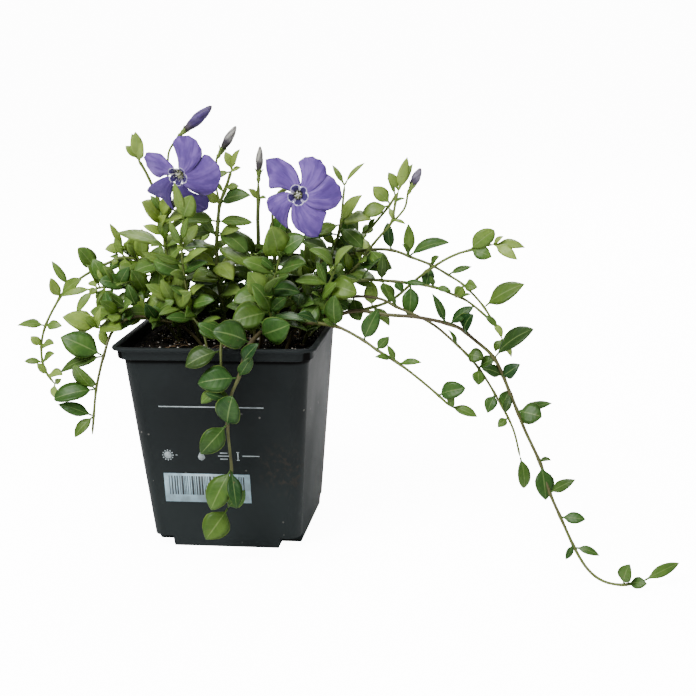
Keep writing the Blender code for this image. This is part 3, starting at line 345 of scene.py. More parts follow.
plan_stem(
    "spray_left", tone=0.5, face=(-0.1, -0.8, 0.6), pairs=[(0.8, 2.8, 3, 12)],
    small=[(1.0, 3.8, 6, 11)],
    route=[(-24, -6, 88), (-32, -9, 100), (-42, -13, 105), (-50, -19, 102.5), (-56, -22, 97.5)],
    leaves=[
        (4, -14, -5, 6, 9.5), (4, 13, -8, 1, 9), (4, -5, -4, 6, 3.5), (4, 2.5, -2.5, 10, 3),
        (3, -5, 6, 10, 6), (2.4, 5, -9, 6, 7), (2.2, -11, 2.5, 7.5, 6), (1.2, -10, -7.5, 2.5, 7),
        (1.2, 10, -5, 7.5, 7),
    ],
)
plan_stem(
    "spray_left_upper", tone=0.48, pairs=[(0.9, 3.6, 4, 13.5)], small=[(0.9, 4.7, 7, 11)],
    route=[(-16, 2, 88), (-24, 0, 100), (-36, -3, 108), (-47, -4, 112), (-57, -5, 113), (-63, -5, 112)],
    leaves=[
        (5, -14, -2.5, -2.5, 3.5), (4.9, -7.5, -5, -11, 4), (4.5, -4, -2.5, 11, 3),
        (4.1, 1, -6, -11, 5), (4, -5, 0, 12.5, 6), (3.4, 6, -5, 10, 5), (3, -11, -5, 5, 7),
        (3, 9, -7.5, -5, 7), (2.2, -5, -6, 12.5, 7), (2.2, 7.5, -7.5, -7.5, 8.5),
    ],
)
plan_stem(
    "spray_left_back", tone=0.5, pairs=[(1, 2, 2, 16)], small=[(0.8, 3.6, 5, 12)],
    route=[(-26, 20, 88), (-32, 20, 103), (-42, 20, 114), (-50, 19, 121), (-55, 18, 126)],
    leaves=[
        (4, -5, -2.5, 12.5, 2.5), (4, -7.5, -4, 1, 5), (3.4, 5, -5, 11, 7), (3.2, -10, -5, -4, 7),
        (2.6, -12.5, 0, 9, 8.5),
    ],
)
print("stems written down:", len(STEMS))

# %% Upright shoots on the left and in the middle
plan_stem(
    "shoot_left", tone=0.16, thick=1.15, pairs=[(1.2, 1.2, 1, 13)], small=[(0.8, 4.0, 7, 13)],
    route=[
        (-26, 2, 88), (-27, 3, 102), (-28.5, 3, 116), (-30, 2, 130), (-30.5, 2, 140), (-31, 1.5, 148),
        (-33.5, 1, 156), (-37, 0, 165), (-39.5, -1, 170),
    ],
    leaves=[
        (8, -5, -1, 6, 3), (8, -2.5, 1, 11, 3.5), (8, 0.5, -3, 12, 5), (7.8, 3, -3, 9, 3),
        (4.7, -4, -1, 8, 3), (4.4, 6, -6, 10, 6), (4, -7.5, -6, 11, 10), (4, 12.5, -7.5, 6, 9.5),
        (3, -21, -3, 6, 9.5), (3, 13.5, -8, 4.5, 8.5), (2.4, -12.5, -10, -2.5, 9.5),
        (2.4, 8, -10, 10, 8.5), (1.6, -10, -11, 6.5, 9.5), (1.6, 11, -10, 5, 9.5),
        (1, 6, -15, 3.5, 9.5), (3.2, -0.5, -3.5, 14, 3.2), (3.2, 3, -4, 12, 3),
    ],
)
plan_stem(
    "shoot_middle", tone=0.32, thick=1.15, pairs=[(0.7, 1.7, 2, 13)], small=[(0.8, 3.4, 6, 12)],
    route=[
        (-4, 2, 88), (-5, 2, 102), (-6, 1, 116), (-6, 0, 130), (-4.5, -1, 142), (-3, -2, 150),
        (0, -2, 157), (3, -2, 165),
    ],
    leaves=[
        (7, -2, -1, 8, 3), (7, 4.5, -2, 9, 3.5), (6.9, -7, -2, -2, 2.5), (6.9, 5, -2, 2, 2),
        (6, 6.5, -2, 1, 2.5), (5.7, -4, -2, 6, 2), (5, 14, -5, 5, 7), (5, -6, -5, 6, 3.5),
        (4, -16, -5, 1, 6.5), (4, 16, -4, 0, 5.5), (3.6, -14, 5, -2.5, 7), (3.6, 14, -6, -7, 9),
        (3, -16, -5, 0, 9.5), (3, 16, -9, -5, 10), (2.5, 9, -12, -4, 9), (2, -15, -7, 0, 8),
        (2, -7.5, -14.5, 2.5, 9), (1.4, 11, -11, 5, 8.5), (1.2, -11, -9, 6, 8.5),
    ],
)
plan_stem(
    "bud_stalk", tone=0.36, thick=1.35, pairs=[(0.7, 1.3, 2, 12)], small=[(0.8, 2.2, 3, 11)],
    route=[
        (6, 10, 88), (8.5, 10, 104), (10.5, 8, 120), (12, 6, 133), (12.6, 4, 143), (13.2, 4, 151),
        (13.5, 4, 158.5),
    ],
    leaves=[
        (5, -4, -1, 5, 3), (5, 4, -2, 1, 3), (2.4, -10, -6, 11, 7), (2.4, 11, -9, 6, 9.5),
        (1.6, 10, -7.5, 7.5, 8.5), (1.6, -10, -5, 6, 8.5),
    ],
)
plan_stem(
    "flower_stalk", tone=0.7, thick=1.2, pairs=[(0.7, 1.2, 2, 12)], small=[(0.8, 2.3, 4, 11)],
    route=[
        (12, 3, 88), (16, 4, 104), (18.5, 7, 120), (19.5, 9, 135), (20, 10, 146), (22.5, 10, 153),
        (27, 8, 156),
    ],
    leaves=[
        (2, -11.5, -9.5, 7, 10), (2, 12, -10, 2, 10), (2.6, 7, -6, 14, 9), (1.4, -11, -11, 4, 9),
        (1.4, 10, -10, 8, 9),
    ],
    bare=[
        (21, 2, 87), (20, 3, 110), (19.2, 4, 134), (20.2, 4, 150), (24.5, 4.5, 155.5), (30.5, 4.5, 154),
    ],
)
print("stems written down:", len(STEMS))

# %% Upright shoots on the right
plan_stem(
    "shoot_centre_right", tone=0.36, pairs=[(1.2, 2.5, 3, 16.5)], small=[(0.8, 3.6, 6, 11)],
    route=[
        (12, 18, 88), (22, 18, 104), (36, 16, 118), (44, 14, 124), (47, 13, 132), (49, 12, 140),
        (50, 12, 148), (51, 12, 156),
    ],
    leaves=[
        (7, 9, -2, 10, 2), (7, -5, 0, 9, 2), (4.9, 10, -4, 12.5, 5), (4.9, 14, -6, 2.5, 10),
        (4.6, 11, -9, -7.5, 8.5), (4.8, -10, -4, -4, 5.5), (4.2, -15, -5, 0, 5.5),
        (3.2, 10, -10, 7.5, 7), (3, -11, -7.5, 7.5, 9.5),
    ],
)
plan_stem(
    "shoot_right", tone=0.46, pairs=[(1.2, 2.6, 2, 16.5)], small=[(0.7, 3.4, 5, 12)],
    route=[
        (18, 26, 88), (28, 26, 108), (42, 23, 124), (54, 19, 131), (60, 17, 134.5), (66, 14, 141),
        (71, 12, 147), (75, 11, 153),
    ],
    leaves=[
        (6.1, -7, -2, 8, 4.5), (6, -12, -3, -4, 5), (6.7, -3, -1, 8, 2), (5.9, 3, -2, -6, 2),
        (4.1, 4, -5, 6, 2.5), (3.4, -10, -4, 10, 6),
    ],
)
plan_stem(
    "shoot_right_tall", tone=0.35, pairs=[(1.2, 2.4, 2, 16.5)], small=[(0.7, 3.2, 5, 12)],
    route=[
        (28, 15, 88), (36, 15, 104), (47, 6, 113), (57, 5, 121), (62, 6, 128), (68, 4, 135),
        (73, 2, 141), (75, 1, 150), (76.5, 0, 155),
    ],
    leaves=[
        (8, -4, -1, 8, 3), (8, 4, -2, 14, 4.5), (8, 6, 2, 11, 3), (7, 4, -2, 2, 1.5),
        (6.1, 6, -3, -1, 2), (4, 9, -7.5, -7.5, 7), (3, 14, -9, 1, 9),
    ],
)
print("stems written down:", len(STEMS))

# %% Stems over the front, and the low tufts
plan_stem(
    "cascade_front", tone=0.9, thick=1, face=FRONT_FACE,
    route=[
        (17, -25, 88), (20, -32, 98), (20, -40, 99.5), (16.5, -47.2, 95), (13.5, -50, 84),
        (10.5, -52.5, 77), (8.5, -53, 70), (8, -52, 60), (8, -50, 50), (8, -49, 42), (6.5, -47.5, 32),
        (5, -46, 24),
    ],
    leaves=[
        (11, 8, -5, 9, 7.5), (11, -9, -5, -12.5, 11), (8.9, -8, -6, -16, 10), (9, 3.5, -9, -13, 7.5),
        (6.7, 4, -6, 14, 10.5), (6.6, -11, -4, -12, 9), (5.4, -9, -4, 4, 3), (4.1, -16, -4, -1, 10.5),
        (4, 6, -4, 9, 6), (2.6, -13.5, -7, 7, 12), (3.5, 7.5, -5, 9, 6), (1.4, 14, -7, 6, 11),
    ],
)
plan_stem(
    "cascade_short", tone=0.88, thick=0.8, face=FRONT_FACE,
    route=[
        (3, -20, 88), (4, -28, 97), (5, -38, 100), (5.5, -46.8, 96), (5.5, -48.6, 87), (4.5, -48.8, 79),
    ],
    leaves=[
        (3.2, -14, -4, -6, 10), (5, -7, -4, -6, 4), (5, 3, -2.5, -8, 3.4), (1.2, -11, -4, 2, 7),
        (2.4, -9, -4, 7, 6),
    ],
)
plan_stem(
    "sprig_front", tone=0.48, thick=0.8, small=[(1.6, 2.9, 4, 14)],
    route=[(-8, -18, 88), (-11, -15, 96), (-17, -12, 102), (-23.5, -10, 105.5)],
    leaves=[
        (3, 10.5, -2, 21, 5.5), (3, 9, -5, 9, 8), (2.2, 14, -4, 8, 7), (3, -13, -3, 3, 3.2),
        (3, -12, -3, 10, 5), (3, -5, -3, 12, 5), (2, -9, -5, 0, 5.5), (1.2, 11, -4, 4, 6),
    ],
)
plan_stem(
    "sprig_bright", tone=0.5, thick=0.8, face=FRONT_FACE, small=[(0.9, 2.9, 5, 13)],
    route=[(-14, -8, 88), (-16, -12, 104), (-17.5, -15, 120), (-17.5, -16.5, 133), (-16, -17, 145.5)],
    leaves=[
        (4, 5, -3, 10.5, 7.5), (4, -1.5, -5, 16, 3.2), (3.2, 4, -3, 11, 3), (3, -4, -3, 12, 3),
        (2.1, 12, -4, 5, 7), (2.1, -12, -3, 6, 7), (1.1, 12, -5, 4, 7), (1.1, -11, -5, 5, 7),
    ],
)
plan_stem(
    "tuft_centre", tone=0.62, pairs=[(0.6, 1.6, 2, 12)], small=[(1.0, 3.6, 5, 12)],
    route=[(12, -14, 88), (15, -16, 100), (20, -16, 112), (24, -15, 122), (26, -14, 131)],
    leaves=[
        (3.6, -2, -6, 15, 12), (3.9, 10, -3, 9, 9), (2.8, 15, -6, 6, 10), (2.8, -12, -5, 8, 8),
        (2.1, 14, -6, 2, 9), (2.1, -14, -6, -3, 9), (1.2, -13, -6, 5, 8), (1.2, 12, -6, 3, 8),
    ],
)
plan_stem(
    "tuft_front", tone=0.78, small=[(1.4, 2.8, 3, 11)],
    route=[(24, -18, 88), (24, -22, 97), (22.5, -24, 105), (21.5, -24, 112)],
    leaves=[
        (3, 7, -5, 10, 8), (3, -7, -4, 12, 9), (2, -5, -6, 14, 12), (2.1, -15, -6, -3, 12),
        (1.9, 15, -4, -2, 8), (1, 14, -6, 3, 8),
    ],
)
plan_stem(
    "tuft_back_left", tone=0.7, pairs=[(0.8, 2.4, 2, 16.5)], small=[(0.7, 2.8, 5, 13)],
    route=[(-12, 12, 88), (-13, 14, 98), (-15, 14, 108), (-15, 13, 119)],
    leaves=[(3, -8, -5, 9, 8), (3, 7, -6, 10, 8), (2, 10, -6, -2, 9), (1.2, -9, -9, 5, 9)],
)
plan_stem(
    "tuft_back_middle", tone=0.7, pairs=[(0.8, 2.4, 2, 16.5)], small=[(0.7, 2.8, 5, 13)],
    route=[(1, 16, 88), (2, 18, 98), (4, 18, 108), (5, 17, 118)],
    leaves=[(3, -9, -6, 7, 8), (3, 9, -6, 8, 8), (2, -11, -7, -2, 9), (1.1, 10, -9, 3, 9)],
)
plan_stem(
    "tuft_right", tone=0.56, pairs=[(0.6, 1.5, 2, 12)], small=[(0.8, 3.6, 5, 11)],
    route=[(34, -12, 88), (39, -14, 99), (43, -15, 108), (47, -16, 116), (50, -16, 123)],
    leaves=[
        (4, 7.5, -5, 11, 7), (4, -9, -4, 10, 8.5), (3, 12.5, -7.5, -1, 9.5), (3, -12.5, -6, 4, 7),
        (2, 9, -7.5, 10, 7), (2, -5, -10, -7.5, 8.5),
    ],
)
print("stems written down:", len(STEMS))

# %% Stems at the back
plan_stem(
    "back_trail_left", tone=0.6, face=BACK_FACE, pairs=[(1, 6, 4, 17)],
    route=[
        (-26, 28, 88), (-30, 36, 100), (-31, 47, 99), (-33, 53, 88), (-35, 55, 72), (-34, 55, 56),
        (-32, 54, 44),
    ],
)
plan_stem(
    "back_trail_middle", tone=0.6, face=BACK_FACE, pairs=[(1, 5, 4, 16.5)],
    route=[(-2, 30, 88), (-3, 38, 101), (-5, 47, 99), (-6, 52, 86), (-8, 53, 70), (-9, 52, 58)],
)
plan_stem(
    "back_trail_right", tone=0.6, face=(0.2, 0.9, 0.6), pairs=[(1, 7, 5, 17)],
    route=[
        (26, 28, 88), (25, 38, 102), (22, 48, 100), (21, 54, 88), (19, 56, 72), (16, 56, 56),
        (14, 54, 38), (15, 55, 26),
    ],
)
plan_stem(
    "back_shoot_left", tone=0.6, face=TOP_FACE, pairs=[(0.8, 3, 3, 17)],
    route=[(-14, 24, 88), (-17, 29, 102), (-21, 34, 114), (-24, 37, 124)],
)
plan_stem(
    "back_shoot_middle", tone=0.6, face=TOP_FACE, pairs=[(0.8, 3, 3, 17)],
    route=[(8, 26, 88), (9, 31, 103), (12, 35, 116), (16, 37, 126)],
)
plan_stem(
    "back_shoot_right", tone=0.6, face=(0.1, 0.4, 0.9), pairs=[(0.9, 3, 3, 17)],
    route=[(32, 20, 88), (38, 28, 101), (46, 34, 111), (54, 38, 118)],
)
print("stems written down:", len(STEMS))

# %% [markdown]
# ## The flowers and buds, written down
# A bloom grows from a place on a stem, on a stalk of its own, and looks along its aim. An open
# flower lists its five petals. Each has the angle of its middle (in degrees, seen from the front),
# half the angle that it spans, its reach from the throat at five places from its right edge to its
# left one, and how far its end bends back. A bud lists its length, its width and its colour, from 0
# for greenish white to 1 for violet.

# %% The open flowers
BLOOMS = {
    "flower_front": dict(
        stem="flower_stalk", at=6, route=[(31.4, 4, 153.9), (32.5, 1.6, 153.4)],
        aim=(0.12, -0.97, 0.12),
        petals=[
            (61.5, 29, (15.6, 17.4, 17.9, 16.8, 14.6), -1.2),
            (3.5, 35, (14.2, 18.2, 19.0, 17.2, 15.6), -1.0),
            (-66, 37, (12.6, 16.8, 20.0, 15.8, 14.6), 0.2),
            (219, 35, (13.8, 14.6, 14.0, 14.2, 16.0), -1.8),
            (131, 37, (11.0, 16.9, 20.4, 14.4, 12.9), -0.6),
        ],
    ),
    "flower_left": dict(
        stem="shoot_left", at=4.8,
        route=[(-25, 6, 158), (-18, 6, 166.5), (-14.8, 1, 169), (-15, -2.4, 168.2)],
        aim=(-0.20, -0.93, -0.28),
        petals=[
            (65, 29, (17.2, 19.4, 20.0, 18.0, 14.5), -0.8),
            (-3, 40, (14.6, 17.8, 19.9, 20.2, 17.6), -1.0),
            (160, 33, (12.0, 17.0, 16.6, 13.5, 10.5), -1.2),
            (229, 23, (21.5, 17.8, 16.6, 18.4, 20.4), -2.6),
            (-75, 25, (15.5, 19.0, 20.4, 19.5, 15.5), -5.6),
        ],
    ),
}
print("open flowers:", len(BLOOMS))

# %% The buds
BLOOMS["bud_tallest"] = dict(
    stem="shoot_left", at=4.6,
    route=[(-29.3, 4, 153), (-27.8, 4.5, 163), (-26.8, 4.5, 172.5), (-22, 3, 179.2)],
    aim=(0.77, -0.1, 0.63), bud=(18.7, 5.3, 1.0),
)
BLOOMS["bud_second"] = dict(
    stem="shoot_middle", at=5, route=[(-5.8, 3, 160), (-4.7, 3, 169.4)], aim=(0.55, 0, 0.84),
    bud=(14.2, 4.1, 0.12),
)
BLOOMS["bud_pale"] = dict(
    stem="bud_stalk", at=6, route=[], aim=(0.09, 0, 1.0), bud=(13.3, 3.5, 0.0),
)
BLOOMS["bud_right"] = dict(
    stem="shoot_right_tall", at=5.8, route=[(76, 3, 143.5), (79, 3, 147.5), (80.3, 2, 153)],
    aim=(0.45, -0.1, 0.89), bud=(10.2, 4.1, 0.6),
)
BLOOMS["bud_small"] = dict(
    stem="shoot_left", at=4.3, route=[(-27.2, -0.9, 145.1)], aim=(0.5, -0.27, 0.82),
    bud=(8.0, 3.0, 0.0),
)
print("blooms:", len(BLOOMS))

# %% [markdown]
# ## Finished pieces
# A mesh is edited in Blender's bmesh, where each operator does what a tool in Edit Mode does. When
# it is done it becomes a piece: millimetres turn into metres, the piece rides on the plant's one
# body, takes its finishes and stands for its solids.

# %% Turn a mesh into a piece
def finish_piece(bm, name, materials, nodes):
    """A smooth-shaded piece that stands for these solids."""
    bm.transform(Matrix.Scale(MM, 4))
    piece = to_object(bm, name)
    for material in materials:
        piece.data.materials.append(material)
    piece.data.shade_smooth()
    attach(piece, "root")
    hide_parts(*nodes)
    print(name, len(piece.data.polygons), "faces")
    return piece


# %% [markdown]
# ## Small tools for materials
# A material is a graph of nodes. These tools keep each graph readable: one adds a node, one feeds
# a socket with either another node's output or a plain value, and the others make the few steps
# that every finish here needs. A mask is 0 below its low value and 1 above its high one, and
# turning the two round turns the mask round.

# %% Nodes, values and masks
def add_node(tree, kind, **settings):
    """A new shader node with these settings."""
    made = tree.nodes.new("ShaderNode" + kind)
    for key, value in settings.items():
        setattr(made, key, value)
    return made


def feed(tree, value, socket):
    """Links a socket to a node's output, or sets a plain value on it."""
    if isinstance(value, bpy.types.NodeSocket):
        tree.links.new(value, socket)
    else:
        socket.default_value = value


def calculate(tree, operation, *values):
    """The result of one step of arithmetic."""
    made = add_node(tree, "Math", operation=operation)
    for value, socket in zip(values, made.inputs):
        feed(tree, value, socket)
    return made.outputs["Value"]


def times(tree, first, second):
    """The product of two values."""
    return calculate(tree, "MULTIPLY", first, second)


def scaled(tree, value, factor, offset):
    """A value times a factor, plus an offset."""
    return calculate(tree, "MULTIPLY_ADD", value, factor, offset)


def mask(tree, value, low, high):
    """A soft step from 0 at low to 1 at high."""
    made = add_node(tree, "MapRange", interpolation_type="SMOOTHSTEP")
    feed(tree, value, made.inputs["Value"])
    feed(tree, low, made.inputs["From Min"])
    feed(tree, high, made.inputs["From Max"])
    return made.outputs["Result"]


# %% Colours, noise and bumps
def blend_colours(tree, factor, first, second):
    """From the first colour at 0 to the second at 1; a plain one is (red, green, blue)."""
    made = add_node(tree, "Mix", data_type="RGBA")
    feed(tree, factor, made.inputs[0])
    for colour, socket in ((first, made.inputs[6]), (second, made.inputs[7])):
        feed(tree, (*colour, 1.0) if isinstance(colour, tuple) else colour, socket)
    return made.outputs[2]


def mix_in(tree, where, share, ground, colour):
    """The ground's colour, with a share of another one where the mask is 1."""
    return blend_colours(tree, times(tree, where, share), ground, colour)


def colour_steps(tree, factor, steps):
    """A colour ramp through steps of (place, red, green, blue)."""
    made = add_node(tree, "ValToRGB")
    elements = made.color_ramp.elements
    while len(elements) < len(steps):
        elements.new(0.5)
    for element, (place, *colour) in zip(elements, steps):
        element.position = place
        element.color = (*colour, 1.0)
    feed(tree, factor, made.inputs["Fac"])
    return made.outputs["Color"]


def noise(tree, vector, scale, detail=2.0):
    """Soft noise between 0 and 1 at this scale."""
    made = add_node(tree, "TexNoise")
    feed(tree, vector, made.inputs["Vector"])
    feed(tree, scale, made.inputs["Scale"])
    made.inputs["Detail"].default_value = detail
    return made.outputs["Fac"]


def bump(tree, height, strength, depth):
    """A bump of this depth, in metres."""
    made = add_node(tree, "Bump")
    feed(tree, height, made.inputs["Height"])
    made.inputs["Strength"].default_value = strength
    made.inputs["Distance"].default_value = depth
    return made.outputs["Normal"]


# %% New materials and new groups
def new_material(name, roughness):
    """A material with its tree and its shader's sockets."""
    material = bpy.data.materials.new(name)
    material.use_nodes = True
    shader = material.node_tree.nodes["Principled BSDF"]
    shader.inputs["Roughness"].default_value = roughness
    return material, material.node_tree, shader.inputs


def new_group(name, inputs, outputs):
    """A node group with these float or vector sockets: its tree, its inputs and its outputs."""
    tree = bpy.data.node_groups.new(name, "ShaderNodeTree")
    for label, kind in inputs.items():
        tree.interface.new_socket(label, in_out="INPUT", socket_type="NodeSocket" + kind)
    for label in outputs:
        tree.interface.new_socket(label, in_out="OUTPUT", socket_type="NodeSocketFloat")
    return tree, tree.nodes.new("NodeGroupInput").outputs, tree.nodes.new("NodeGroupOutput").inputs


def use_group(tree, group, **values):
    """Places a group in a material and feeds its inputs."""
    made = tree.nodes.new("ShaderNodeGroup")
    made.node_tree = group
    for label, value in values.items():
        feed(tree, value, made.inputs[label])
    return made.outputs


def object_place(tree):
    """Where a point is on the object, in metres."""
    return add_node(tree, "TexCoord").outputs["Object"]


def fact_layers(bm):
    """The layers in which a mesh keeps what surface_facts reads."""
    return bm.verts.layers.float_vector.new("place"), bm.verts.layers.float.new("age")


def surface_facts(tree):
    """The place across and along a leaf or petal, its own random tint, and its age."""
    place = add_node(tree, "Attribute", attribute_name="place").outputs["Vector"]
    parts = add_node(tree, "SeparateXYZ")
    feed(tree, place, parts.inputs[0])
    age = add_node(tree, "Attribute", attribute_name="age").outputs["Fac"]
    return parts.outputs["X"], parts.outputs["Y"], parts.outputs["Z"], age


# %% [markdown]
# ## Uneven growth
# Nothing that grows is one even colour. One group serves every living surface and the soil too:
# broad blotches shift the colour a little from place to place, fine grain breaks up the gloss, and
# rare small flecks are the scars and dirt that a plant picks up outdoors.

# %% The group for uneven growth
uneven_growth, given, result = new_group(
    "uneven_growth", {"Vector": "Vector", "Scale": "Float"}, ["Blotches", "Grain", "Flecks"]
)
blotches = noise(uneven_growth, given["Vector"], given["Scale"], 3.0)
grain = noise(uneven_growth, given["Vector"], 2600.0)
fleck_noise = noise(uneven_growth, given["Vector"], 900.0, 1.0)
feed(uneven_growth, mask(uneven_growth, blotches, 0.32, 0.68), result["Blotches"])
feed(uneven_growth, grain, result["Grain"])
feed(uneven_growth, mask(uneven_growth, fleck_noise, 0.70, 0.76), result["Flecks"])


def unevenness(tree, scale):
    """The blotches, grain and flecks of this scale, anywhere on the object."""
    return use_group(tree, uneven_growth, Vector=object_place(tree), Scale=scale)


print("group:", uneven_growth.name)

# %% [markdown]
# ## The leaf's markings
# A periwinkle leaf is easy to tell by its pale midrib, the few side veins that curve forward from
# it, and the thin pale line round its edge. All three are drawn from two numbers that each vertex
# keeps: how far across the leaf it is, from -1 to 1, and how far along, from 0 to 1. The top and
# the underside share the markings, so they are a group.

# %% The group for midrib, veins and margin
VEIN_PAIRS = 6.5
VEIN_SLANT = 0.2

leaf_markings, given, result = new_group(
    "leaf_markings", {"Across": "Float", "Along": "Float"}, ["Midrib", "Veins", "Margin", "Relief"]
)
from_midrib = calculate(leaf_markings, "ABSOLUTE", given["Across"])
midrib = mask(leaf_markings, from_midrib, 0.085, 0.02)
slant = times(leaf_markings, from_midrib, VEIN_SLANT)
forward = calculate(leaf_markings, "SUBTRACT", given["Along"], slant)
waves = times(leaf_markings, forward, VEIN_PAIRS)
wave = calculate(leaf_markings, "FRACT", waves)
from_vein = calculate(leaf_markings, "ABSOLUTE", calculate(leaf_markings, "SUBTRACT", wave, 0.5))
lines = mask(leaf_markings, from_vein, 0.12, 0.02)
inside = mask(leaf_markings, from_midrib, 0.95, 0.6)
veins = times(leaf_markings, lines, inside)
margin = mask(leaf_markings, from_midrib, 0.89, 0.97)
swell = mask(leaf_markings, from_vein, 0.0, 0.5)
hollow = times(leaf_markings, midrib, -1.0)
relief = calculate(leaf_markings, "ADD", times(leaf_markings, swell, inside), hollow)
for label, value in (("Midrib", midrib), ("Veins", veins), ("Margin", margin), ("Relief", relief)):
    feed(leaf_markings, value, result[label])
print("group:", leaf_markings.name)

# %% [markdown]
# ## Leaf, underside and stem
# Fresh growth is a bright yellow-green and last year's leaves are a deep, bluish green, so age
# drives the colour. The top is glossy, with a thin clear coat for the waxy skin; the underside is
# paler, greyer and dull. A stem is green at its young end and turns olive, then reddish brown
# where it has grown woody near the soil.

# %% The leaf's two sides
LEAF_AGES = [
    (0.0, 0.32, 0.44, 0.11), (0.3, 0.150, 0.250, 0.052), (0.6, 0.066, 0.148, 0.030),
    (1.0, 0.018, 0.062, 0.014),
]


def leaf_side(name, roughness, paleness):
    """The upper side of a leaf, or with paleness its underside."""
    material, tree, shader = new_material(name, roughness)
    across, along, tint, age = surface_facts(tree)
    uneven = unevenness(tree, 160.0)
    marks = use_group(tree, leaf_markings, Across=across, Along=along)
    shift = scaled(tree, uneven["Blotches"], 0.16, -0.08)
    worn_age = calculate(tree, "ADD", age, shift)
    green = colour_steps(tree, worn_age, LEAF_AGES)
    green = mix_in(tree, mask(tree, tint, 0.6, 1.0), 0.26, green, (0.13, 0.17, 0.03))
    green = mix_in(tree, mask(tree, tint, 0.45, 0.0), 0.4, green, (0.030, 0.085, 0.030))
    green = mix_in(tree, marks["Veins"], 0.08, green, (0.20, 0.30, 0.10))
    green = mix_in(tree, marks["Midrib"], 0.44, green, (0.30, 0.40, 0.16))
    green = mix_in(tree, marks["Margin"], 0.5, green, (0.26, 0.37, 0.09))
    green = mix_in(tree, uneven["Flecks"], 0.5, green, (0.16, 0.12, 0.05))
    green = blend_colours(tree, paleness, green, (0.24, 0.33, 0.13))
    feed(tree, green, shader["Base Color"])
    gloss = scaled(tree, uneven["Grain"], 0.2, roughness - 0.1)
    feed(tree, gloss, shader["Roughness"])
    height = scaled(tree, uneven["Grain"], 0.25, marks["Relief"])
    feed(tree, bump(tree, height, 0.24, 0.00018), shader["Normal"])
    return material, shader


leaf_top, top_shader = leaf_side("leaf_top", 0.42, 0.0)
top_shader["Specular IOR Level"].default_value = 0.34
top_shader["Coat Weight"].default_value = 0.05
top_shader["Coat Roughness"].default_value = 0.25
leaf_under = leaf_side("leaf_under", 0.6, 0.28)[0]
print("leaf materials:", leaf_top.name, leaf_under.name)

# %% The stem's skin
STEM_AGES = [
    (0.0, 0.21, 0.30, 0.065), (0.35, 0.165, 0.215, 0.06), (0.7, 0.105, 0.09, 0.042),
    (1.0, 0.07, 0.042, 0.024),
]
stem_skin, tree, shader = new_material("stem_skin", 0.5)
across, _, _, age = surface_facts(tree)
uneven = unevenness(tree, 90.0)
shift = scaled(tree, uneven["Blotches"], 0.2, -0.1)
bark = colour_steps(tree, calculate(tree, "ADD", age, shift), STEM_AGES)
bark = mix_in(tree, uneven["Flecks"], 0.3, bark, (0.07, 0.045, 0.03))
feed(tree, bark, shader["Base Color"])
ridges = calculate(tree, "SINE", times(tree, across, 25.0))
height = scaled(tree, uneven["Grain"], 0.8, ridges)
feed(tree, bump(tree, height, 0.15, 0.00006), shader["Normal"])
print("stem material:", stem_skin.name)

# %% [markdown]
# ## How a stem grows
# The stems follow the same smooth curves as the solids. Between two points of the route the curve
# leaves along one direction and arrives along the next, which is a Hermite curve. The leaves are
# planned by the same rules too, and each plan has up to sixteen tries, because a leaf that met
# another one was turned and shortened. The try that was used is the one whose tip, or one of
# whose corners at the widest part, is found again in the solid. So each finished leaf lies where
# its solid leaf lies, and a leaf that found no room in the solid is left out here too.

# %% Places along a smooth route
ROOT_DEPTH = 10.0
ROOT_POINTS = 2
SOLID_STEP = 12.5
STEM_TAPER = 0.4


def smooth_place(points, at):
    """The place and the direction at a number along the points."""
    last = len(points) - 1
    index = min(int(at), last - 1)
    t = at - index
    start, end = points[index], points[index + 1]
    length = (end - start).length
    leave = (end - points[max(index - 1, 0)]).normalized() * length
    arrive = (points[min(index + 2, last)] - start).normalized() * length
    place = (
        start * (2 * t**3 - 3 * t**2 + 1) + leave * (t**3 - 2 * t**2 + t)
        + end * (3 * t**2 - 2 * t**3) + arrive * (t**3 - t**2)
    )
    direction = (
        start * (6 * t**2 - 6 * t) + leave * (3 * t**2 - 4 * t + 1)
        + end * (6 * t - 6 * t**2) + arrive * (3 * t**2 - 2 * t)
    )
    return place, direction.normalized()


def places_along(points, step):
    """Places along the smooth curve, about a step apart, with their numbers."""
    found = []
    for index in range(len(points) - 1):
        length = (points[index + 1] - points[index]).length
        count = max(1, round(length / step))
        numbers = [index + part / count for part in range(count)]
        found += [(number, smooth_place(points, number)[0]) for number in numbers]
    return [*found, (len(points) - 1, points[-1])]


def stem_points(stem):
    """The stem's points, with those of its straight root in front of them."""
    x, y, z = stem["route"][0]
    roots = [(x, y, z - ROOT_DEPTH), (x, y, z - 3)]
    return [Vector(point) for point in [*roots, *stem["route"]]]


def on_stem(points, at):
    """The place on the solid stem at a number along its points above the soil."""
    at += ROOT_POINTS
    spots = places_along(points, SOLID_STEP)
    for (low, start), (high, end) in zip(spots, spots[1:]):
        if low <= at <= high:
            return start.lerp(end, (at - low) / (high - low))
    return points[-1]


print("points of the longest runner:", len(stem_points(STEMS["runner_long"])))

# %% Plan the leaves
FACE_WOBBLE = 0.35
FIRST_TURN = 8
MORE_TURN = 4
SHORTER = 0.025
LEAF_SINK = 0.2


